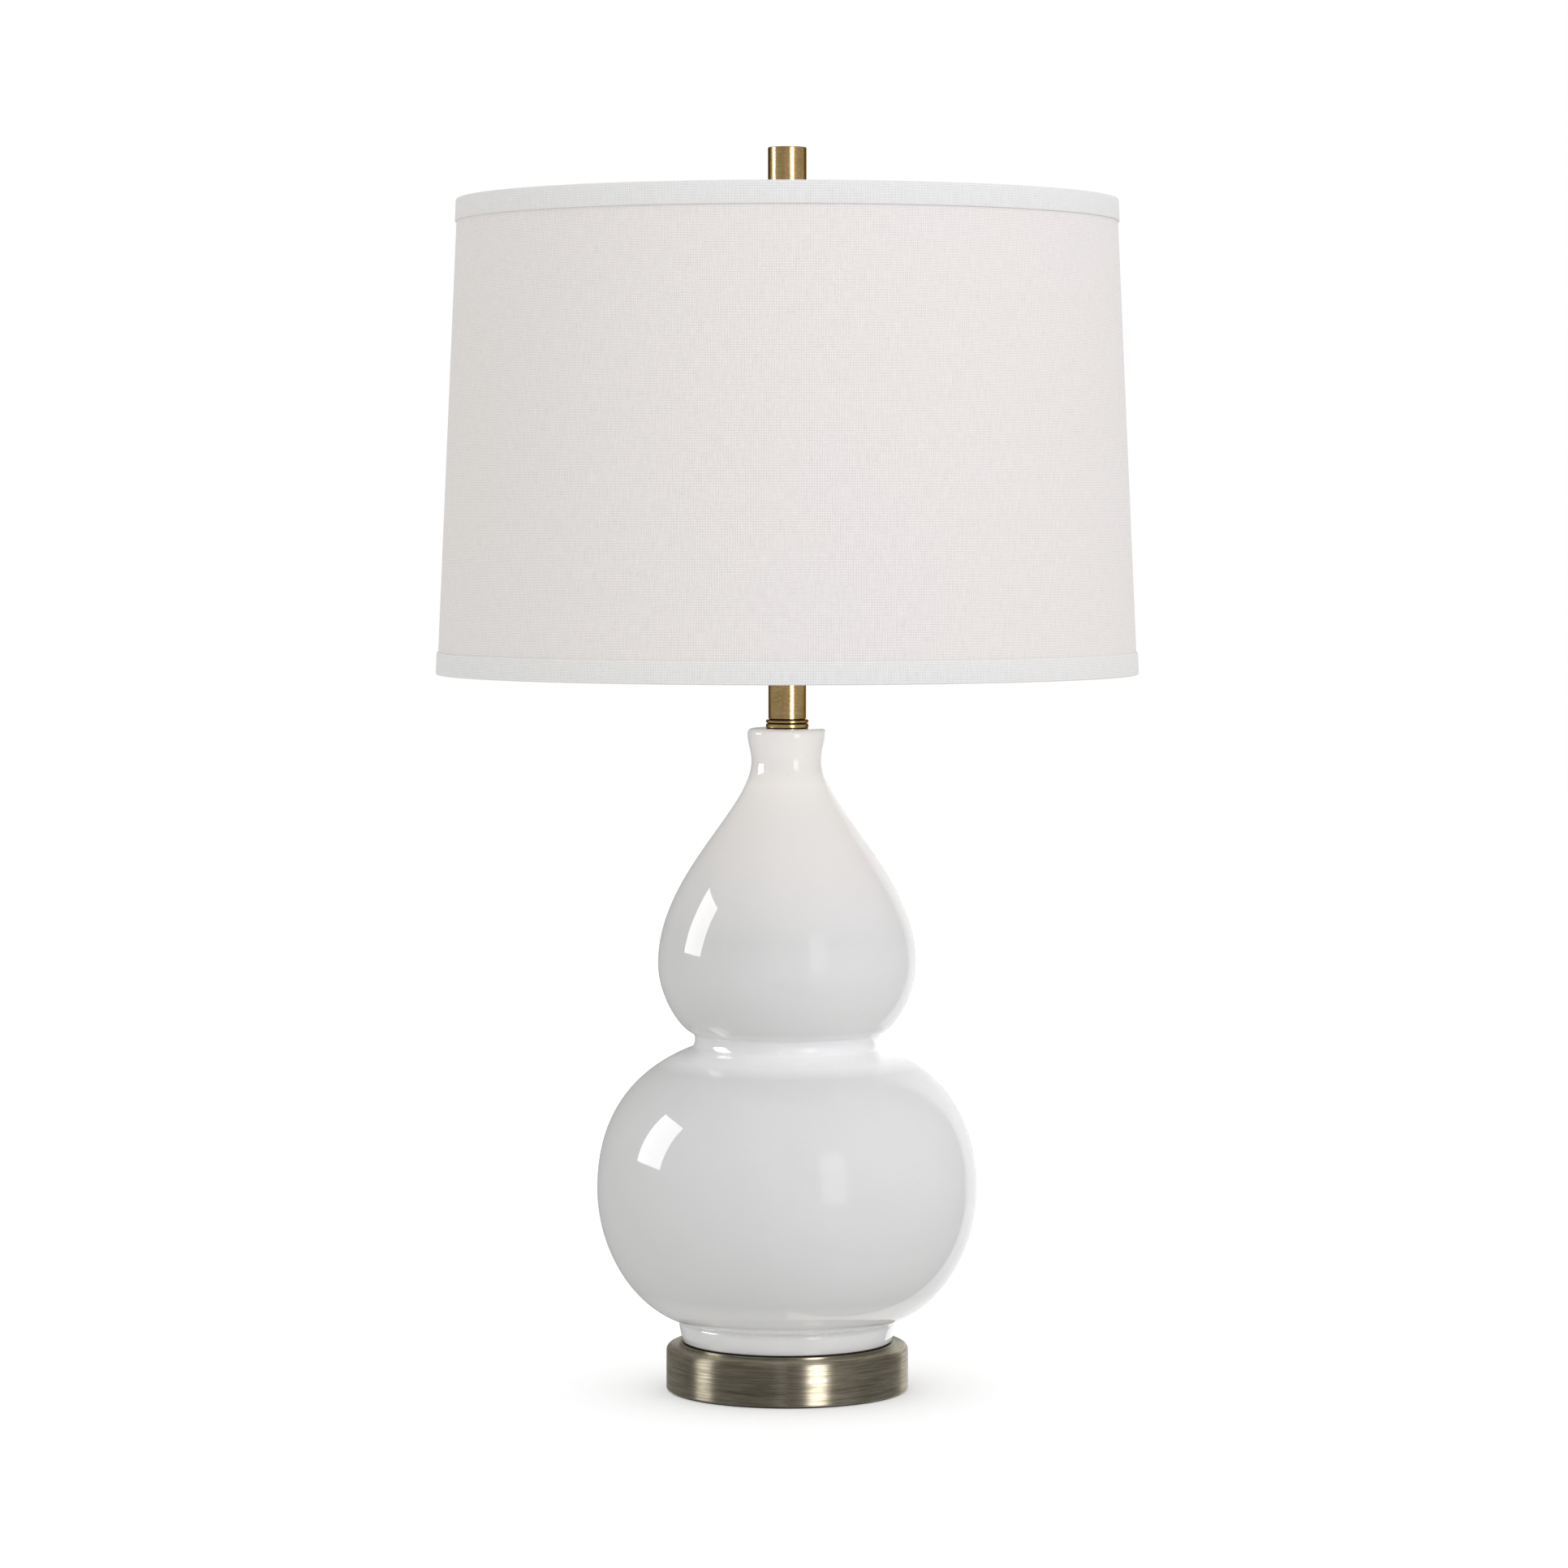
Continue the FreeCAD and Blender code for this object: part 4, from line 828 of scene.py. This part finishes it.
class LAMP_OT_finial(bpy.types.Operator):
    """Turns the finial"""
    bl_idname = "lamp.finial"
    bl_label = "Finial"

    def execute(self, context):
        bottom, top, radius = low("finial"), high("finial"), reach("finial")
        bore_end = high("harp_stud") + 3
        piece = turned("brass_finial", rounded([
            (STUD_ROOM, bottom), (radius, bottom, 0.6), (radius, top, 0.6), (0, top),
            (0, bore_end), (STUD_ROOM, bore_end)]))
        dress(piece, antique_brass(), "antique_brass", "finial", "finial")
        return {"FINISHED"}


# the shade's cloth, in millimetres
CLOTH_TOP_RADIUS = 176.4
SHADE_FLARE = 10.7
SHADE_HEIGHT = 253.5


def on_cone(height, back=0.0):
    """The point at this height that lies back behind the face of the shade's cloth."""
    top = high("shade_top_trim")
    return (CLOTH_TOP_RADIUS + (top - height) * SHADE_FLARE / SHADE_HEIGHT - back, height)


def cone_layer(name, node, front, back):
    """One even layer of the shade's wall, as a turned outline in many short steps."""
    bottom, top = low(node), high(node)
    heights = [bottom + (top - bottom) * step / 24 for step in range(25)]
    return turned(name, [on_cone(height, front) for height in heights]
                  + [on_cone(height, back) for height in heights[::-1]], steps=192)


def folded_tape(name, rim, inwards, width):
    """The tape folded over one rim of the shade."""
    outer_end, inner_end, fold = rim + inwards * width, rim + inwards * 9, rim + inwards * 0.8
    outside, on_cloth, on_lining, inside = -0.85, -0.05, 3.65, 4.45
    corners = [
        (*on_cone(outer_end, outside), 0.35), (*on_cone(rim, outside), 0.75),
        (*on_cone(rim, inside), 0.75), on_cone(inner_end, inside), on_cone(inner_end, on_lining),
        on_cone(fold, on_lining), on_cone(fold, on_cloth), on_cone(outer_end, on_cloth)]
    return turned(name, rounded(corners), steps=192)


class LAMP_OT_drum_shade(bpy.types.Operator):
    """Makes the cloth, its lining, its wire rings and the tape over both rims"""
    bl_idname = "lamp.drum_shade"
    bl_label = "Drum Shade"

    def execute(self, context):
        cloth = cone_layer("linen_cover", "shade_fabric", 0.0, 0.6)
        width = context.scene.lamp_shade.tape / MM
        top_tape = folded_tape("upper_tape", high("shade_top_trim"), -1, width)
        low_tape = folded_tape("lower_tape", low("shade_bottom_trim"), 1, width)
        middle = sum(on_cone(low("shade_fabric"))[:1] + on_cone(high("shade_fabric"))[:1]) / 2
        for piece in (cloth, top_tape, low_tape):
            unroll(piece, middle * MM)
        dress(cloth, shade_linen(), "shade_cloth", "shade", "shade_fabric")
        dress(top_tape, tape_linen(), "shade_cloth", "shade", "shade_top_trim")
        dress(low_tape, tape_linen(), "shade_cloth", "shade", "shade_bottom_trim")
        # laid flat, the cover is a ring sector
        lining = cone_layer("stiff_lining", "shade_liner", 0.65, 1.15)
        dress(lining, lining_sheet(), "shade_lining", "shade", "shade_liner")
        for name, node in (("upper_ring", "shade_top_ring"), ("lower_ring", "shade_bottom_ring")):
            middle, wire = (low(node) + high(node)) / 2, 1.2
            bm = bmesh.new()
            ring = bmesh.ops.create_circle(bm, segments=10, radius=wire * MM)["verts"]
            bmesh.ops.rotate(bm, verts=ring, cent=(0, 0, 0),
                             matrix=Matrix.Rotation(math.pi / 2, 3, "X"))
            bmesh.ops.translate(bm, verts=ring, vec=Vector((
                (reach(node) - wire) * MM, 0, middle * MM)))
            spin_full(bm, bm.verts[:] + bm.edges[:], 144)
            dress(finished(name, bm), zinc_steel(), "zinc_steel", "shade", node)
        return {"FINISHED"}


# the stud's screw above its flange, in millimetres
SCREW_LENGTH = 12


class LAMP_OT_spider(bpy.types.Operator):
    """Bends the three arms that carry the shade and turns their hub"""
    bl_idname = "lamp.spider"
    bl_label = "Shade Spider"

    def execute(self, context):
        hub, plate = 12.5, 1.6
        floor = high("harp_stud") - SCREW_LENGTH + 0.3
        middle = floor + plate / 2
        end = on_cone((low("shade_top_ring") + high("shade_top_ring")) / 2, 3.55)
        bm = bmesh.new()
        for arm in range(3):
            before = set(bm.verts)
            rod_along(bm, [(hub - 1.5, 0, middle), (hub + 6, 0, middle, 12), (end[0], 0, end[1])],
                      1.1)
            added = [vert for vert in bm.verts if vert not in before]
            bmesh.ops.rotate(bm, verts=added, cent=(0, 0, 0),
                             matrix=Matrix.Rotation(TURN * arm / 3, 3, "Z"))
        arms = finished("arms", bm)
        disc = turned("hub", rounded([
            (STUD_ROOM, floor), (hub, floor, 0.5), (hub, floor + plate, 0.5),
            (STUD_ROOM, floor + plate)]), 64)
        dress(joined("shade_arms", arms, disc), antique_brass(), "antique_brass", "shade",
              "shade_spider")
        return {"FINISHED"}


class LAMP_OT_harp(bpy.types.Operator):
    """Bends the harp, makes its stud and sleeves, and repaints its saddle"""
    bl_idname = "lamp.harp"
    bl_label = "Harp"

    def execute(self, context):
        leg, wide, wire = 27.0, 58.0, 1.75
        start, top = low("harp_wire"), high("harp_wire") - wire
        knee, hip = start + 24, start + 92
        bm = bmesh.new()
        rod_along(bm, [
            (-leg, 0, start), (-leg, 0, knee, 24), (-wide, 0, hip, 40), (-wide, 0, top, 49),
            (wide, 0, top, 49), (wide, 0, hip, 40), (leg, 0, knee, 24), (leg, 0, start)],
            wire, sides=16, bend_steps=16)
        dress(finished("bent_harp", bm), antique_brass(), "antique_brass", "harp", "harp_wire")
        flange = high("harp_stud") - SCREW_LENGTH
        block = turned("block", rounded([
            (0, low("harp_stud")), (4.4, low("harp_stud"), 0.6), (4.4, flange - 1.8),
            (7, flange - 1.8, 0.4), (7, flange, 0.4), (0, flange)]), 48)
        screw = threaded("screw", 2.75, 3.1, 0.94, flange - 0.5, high("harp_stud"))
        dress(joined("finial_stud", block, screw), antique_brass(), "antique_brass", "harp",
              "harp_stud")
        for name, side in (("ferrule_left", -1), ("ferrule_right", 1)):
            bottom, upper = low(name), high(name)
            sleeve = turned(name + "_sleeve", rounded([
                (1.85, bottom), (3.8, bottom, 0.5), (3.8, bottom + 1.6, 0.3),
                (3.3, bottom + 1.6), (3.3, upper - 1.6), (3.8, upper - 1.6, 0.3),
                (3.8, upper, 0.5), (1.85, upper)]), 48,
                place=Matrix.Translation((side * leg * MM, 0, 0)))
            dress(sleeve, antique_brass(), "antique_brass", name, name)
        repaint(antique_brass(), "harp_saddle")
        return {"FINISHED"}


class LAMP_OT_lamp_holder(bpy.types.Operator):
    """Gives the lamp holder and its turn-knob switch better materials"""
    bl_idname = "lamp.lamp_holder"
    bl_label = "Lamp Holder"

    def execute(self, context):
        repaint(holder_brass(), "socket_cap", "socket_shell", "cap_set_screw", "switch_shaft",
                "socket_contact", "terminal_screws")
        repaint(brown_fibre(), "socket_liner")
        repaint(black_moulding(), "socket_block", "switch_knob", "cord_bushing")
        repaint(spun_aluminium(), "socket_screw_shell")
        return {"FINISHED"}


class LAMP_OT_light_bulb(bpy.types.Operator):
    """Makes the light bulb"""
    bl_idname = "lamp.light_bulb"
    bl_label = "Light Bulb"

    def execute(self, context):
        tip, top = low("bulb_contact"), high("bulb_glass")
        neck, belly, glass_wall = 12.4, 30, 0.8
        start, widest = tip + 19, tip + 76
        outside = [Vector((neck, start))]
        outside += bezier([(neck, start), (neck, tip + 43), (belly, tip + 52), (belly, widest)], 24)
        outside += bezier([(belly, widest), (belly, tip + 92.5), (16.5, top), (0, top)], 20)
        inside = inside_of(outside, glass_wall) + [Vector((0, top - glass_wall))]
        glass = turned("bulb_envelope", outside + inside[::-1], 96, crease=60)
        dress(glass, frosted_glass(), "bulb_glass", "bulb", "bulb_glass")
        thread_start = tip + 8.95
        screw = threaded("bulb_screw", neck, 13.15, 3.63, thread_start, tip + 24.5)
        bevel = turned("bevel", [(8, tip + 4.2), (8.4, tip + 4.2), (12.75, thread_start),
                                 (8, thread_start)], 48)
        dress(joined("bulb_screw_cap", screw, bevel), spun_aluminium(), "cap_aluminium", "bulb",
              "bulb_cap")
        repaint(black_vitrite(), "bulb_insulator")
        repaint(zinc_steel(), "bulb_contact")
        return {"FINISHED"}


class LAMP_OT_hidden_fittings(bpy.types.Operator):
    """Finishes the weight, the nut and the pipe that draw the lamp together"""
    bl_idname = "lamp.hidden_fittings"
    bl_label = "Hidden Fittings"

    def execute(self, context):
        repaint(rough_iron(), "base_weight")
        repaint(zinc_steel(), "bottom_washer", "bottom_nut", "threaded_pipe")
        repaint(black_rubber(), "foot_gasket")
        return {"FINISHED"}


# ---------------------------------------------------------------------------------------------
# Stage


def area_lamp(name, azimuth, elevation, distance, width, tall, radiance, mirrored=True,
              aim=0.3):
    """A soft box that faces the lamp: azimuth 0 is the camera's side and 90 its right.

    Mirrored boxes only show in polished surfaces, the others only light matt ones."""
    light = bpy.data.lights.new(name, "AREA")
    light.shape = "RECTANGLE"
    light.size, light.size_y = width, tall
    light.energy = radiance * math.pi * width * tall
    box = bpy.data.objects.new(name, light)
    box.visible_diffuse, box.visible_glossy = not mirrored, mirrored
    turn, rise = math.radians(azimuth), math.radians(elevation)
    away = Vector((math.sin(turn) * math.cos(rise), -math.cos(turn) * math.cos(rise),
                   math.sin(rise)))
    box.location = Vector((0, 0, aim)) + away * distance
    box.rotation_euler = away.to_track_quat("Z", "Y").to_euler()
    bpy.context.scene.collection.objects.link(box)
    return box


# how bright the studio looks in polished surfaces: (degrees from the camera's side, brightness)
STUDIO = ((-180, 0.40), (-132, 0.38), (-114, 0.26), (-11, 0.24), (-6, 0.50), (-1, 0.24), (20, 0.29),
          (44, 0.40), (62, 0.36), (92, 0.28), (138, 0.34), (139.5, 1.15), (180, 1.15))


EVEN_LIGHT = (0.94, 0.94, 0.94, 1)
NARROW = math.radians(8)


class LAMP_OT_stage(bpy.types.Operator):
    """Sets up the floor, the light and the camera"""
    bl_idname = "lamp.stage"
    bl_label = "Stage"

    def execute(self, context):
        stage = context.scene.lamp_stage
        self.floor(stage)
        self.world(stage)
        glaze, brass = [white_glaze()], [antique_brass(), base_brass()]
        for name, azimuth, elevation, distance, width, tall, radiance, finishes in (
                ("left_softbox", -93, 16.7, 1.6, 0.62, 0.84, 7.0, glaze),
                ("front_strip", 28, 8, 2.2, 0.60, 1.3, 1.25, glaze),
                ("base_left", -86, 0, 2.1, 0.64, 2.2, 2.4, brass[1:]),
                ("finial_left", -88, 0, 2.1, 0.52, 2.2, 16.0, brass[:1]),
                ("base_right", 28.5, 0, 2.1, 0.62, 2.2, 7.0, brass[1:]),
                ("neck_right", 29.5, 0, 2.1, 0.60, 2.2, 15.0, [antique_brass(), neck_brass()])):
            box = area_lamp(name, azimuth, elevation, distance, width, tall, radiance)
            box.light_linking.receiver_collection = self.pieces_in(name, finishes)
        key = area_lamp("key", 30, 40, 2.2, 1.6, 1.6, 1.5, mirrored=False)
        key.data.color = (1.0, 0.97, 1.07)
        key.light_linking.receiver_collection = self.pieces_in("key", None)
        for name, azimuth, across, radiance, aim in (("gourd_side", 62, 0.22, 0.15, 0.19),
                                                     ("neck_front", 12, 0.14, 0.18, 0.35)):
            box = area_lamp(name, azimuth, -1, 1.6, across, across, radiance, mirrored=False,
                            aim=aim)
            box.data.spread = NARROW
            box.light_linking.receiver_collection = self.pieces_in(name, glaze)
        self.camera(stage)
        context.scene.view_settings.view_transform = "Standard"
        return {"FINISHED"}

    def pieces_in(self, name, finishes):
        """The pieces that wear some finishes, or all but the floor, for a lamp to shine on."""
        chosen = bpy.data.collections.new(name)
        for piece in bpy.context.scene.objects:
            worn = [place.material for place in getattr(piece, "material_slots", ())]
            if piece.type == "MESH" and piece.name != "floor" and (
                    finishes is None or any(finish in finishes for finish in worn)):
                chosen.objects.link(piece)
        return chosen

    def floor(self, stage):
        """A wide pale floor that keeps the lamp's shadow but leaves reflections alone."""
        bm = bmesh.new()
        bmesh.ops.create_circle(bm, cap_ends=True, segments=96, radius=6)
        floor = finished("floor", bm)
        finish = Finish("floor_paper", Roughness=0.9)
        finish.feed("Base Color", (1, 1, 1, 1))
        seen = finish.node("LightPath", output="Is Camera Ray")
        finish.shader.inputs["Emission Color"].default_value = solid(stage.paper)
        finish.feed("Emission Strength", finish.math("MULTIPLY", seen, 0.21))
        floor.data.materials.append(finish.material)
        floor.visible_glossy = False

    def world(self, stage):
        """White to the camera, an even grey to matt surfaces and a studio to polished ones."""
        world = bpy.data.worlds.new("studio")
        world.use_nodes = True
        bpy.context.scene.world = world
        nodes = Nodes(world.node_tree)
        x, y, _ = nodes.apart(nodes.node("TexCoord", output="Generated"))
        around = nodes.math("ARCTAN2", x, nodes.math("MULTIPLY", y, -1))
        ramp = world.node_tree.nodes.new("ShaderNodeValToRGB")
        nodes.put(ramp.inputs[0], nodes.spread(around, -math.pi, math.pi))
        stops = ramp.color_ramp.elements
        for degrees, level in STUDIO:
            position = degrees / 360 + 0.5
            stop = stops[0] if position == 0 else stops[-1] if position == 1 \
                else stops.new(position)
            stop.color = (level, level, level, 1)
        shown = nodes.blend(nodes.node("LightPath", output="Is Glossy Ray"), EVEN_LIGHT,
                            ramp.outputs[0])
        shown = nodes.blend(nodes.node("LightPath", output="Is Camera Ray"), shown,
                            solid(stage.paper))
        nodes.put(world.node_tree.nodes["Background"].inputs["Color"], shown)

    def camera(self, stage):
        """A level camera at the photograph's height, with the frame shifted down."""
        camera = bpy.data.cameras.new("camera")
        camera.sensor_width = 36
        camera.lens = stage.focal
        camera.shift_y = (HORIZON_ROW - IMAGE_SIDE / 2) / IMAGE_SIDE
        camera.shift_x = (IMAGE_SIDE / 2 - AXIS_COLUMN) / IMAGE_SIDE
        holder = bpy.data.objects.new("camera", camera)
        holder.location = (0, -stage.distance, stage.height)
        holder.rotation_euler = (math.pi / 2, 0, 0)
        bpy.context.scene.collection.objects.link(holder)
        bpy.context.scene.camera = holder


GROUPS = {"lamp_glaze": LampGlaze, "lamp_brass": LampBrass, "lamp_shade": LampShade,
          "lamp_stage": LampStage}
OPERATORS = (
    LAMP_OT_ceramic_gourd, LAMP_OT_brass_base, LAMP_OT_brass_neck, LAMP_OT_finial,
    LAMP_OT_drum_shade, LAMP_OT_spider, LAMP_OT_harp, LAMP_OT_lamp_holder, LAMP_OT_light_bulb,
    LAMP_OT_hidden_fittings, LAMP_OT_stage)


class LAMP_PT_panel(bpy.types.Panel):
    """Lists the lamp's pieces and their settings"""
    bl_idname = "LAMP_PT_panel"
    bl_label = "Double Gourd Lamp"
    bl_space_type = "VIEW_3D"
    bl_region_type = "UI"
    bl_category = "Lamp"

    def draw(self, context):
        for name, group in GROUPS.items():
            box = self.layout.box()
            for setting in group.__annotations__:
                box.prop(getattr(context.scene, name), setting)
        for operator in OPERATORS:
            self.layout.operator(operator.bl_idname)


def register():
    for cls in (*GROUPS.values(), *OPERATORS, LAMP_PT_panel):
        bpy.utils.register_class(cls)
    for name, group in GROUPS.items():
        setattr(bpy.types.Scene, name, bpy.props.PointerProperty(type=group))


def unregister():
    for name in GROUPS:
        delattr(bpy.types.Scene, name)
    for cls in (LAMP_PT_panel, *OPERATORS, *GROUPS.values()):
        bpy.utils.unregister_class(cls)


def main():
    register()
    for operator in OPERATORS:
        module, name = operator.bl_idname.split(".")
        getattr(getattr(bpy.ops, module), name)()


if __name__ == "__main__":
    main()
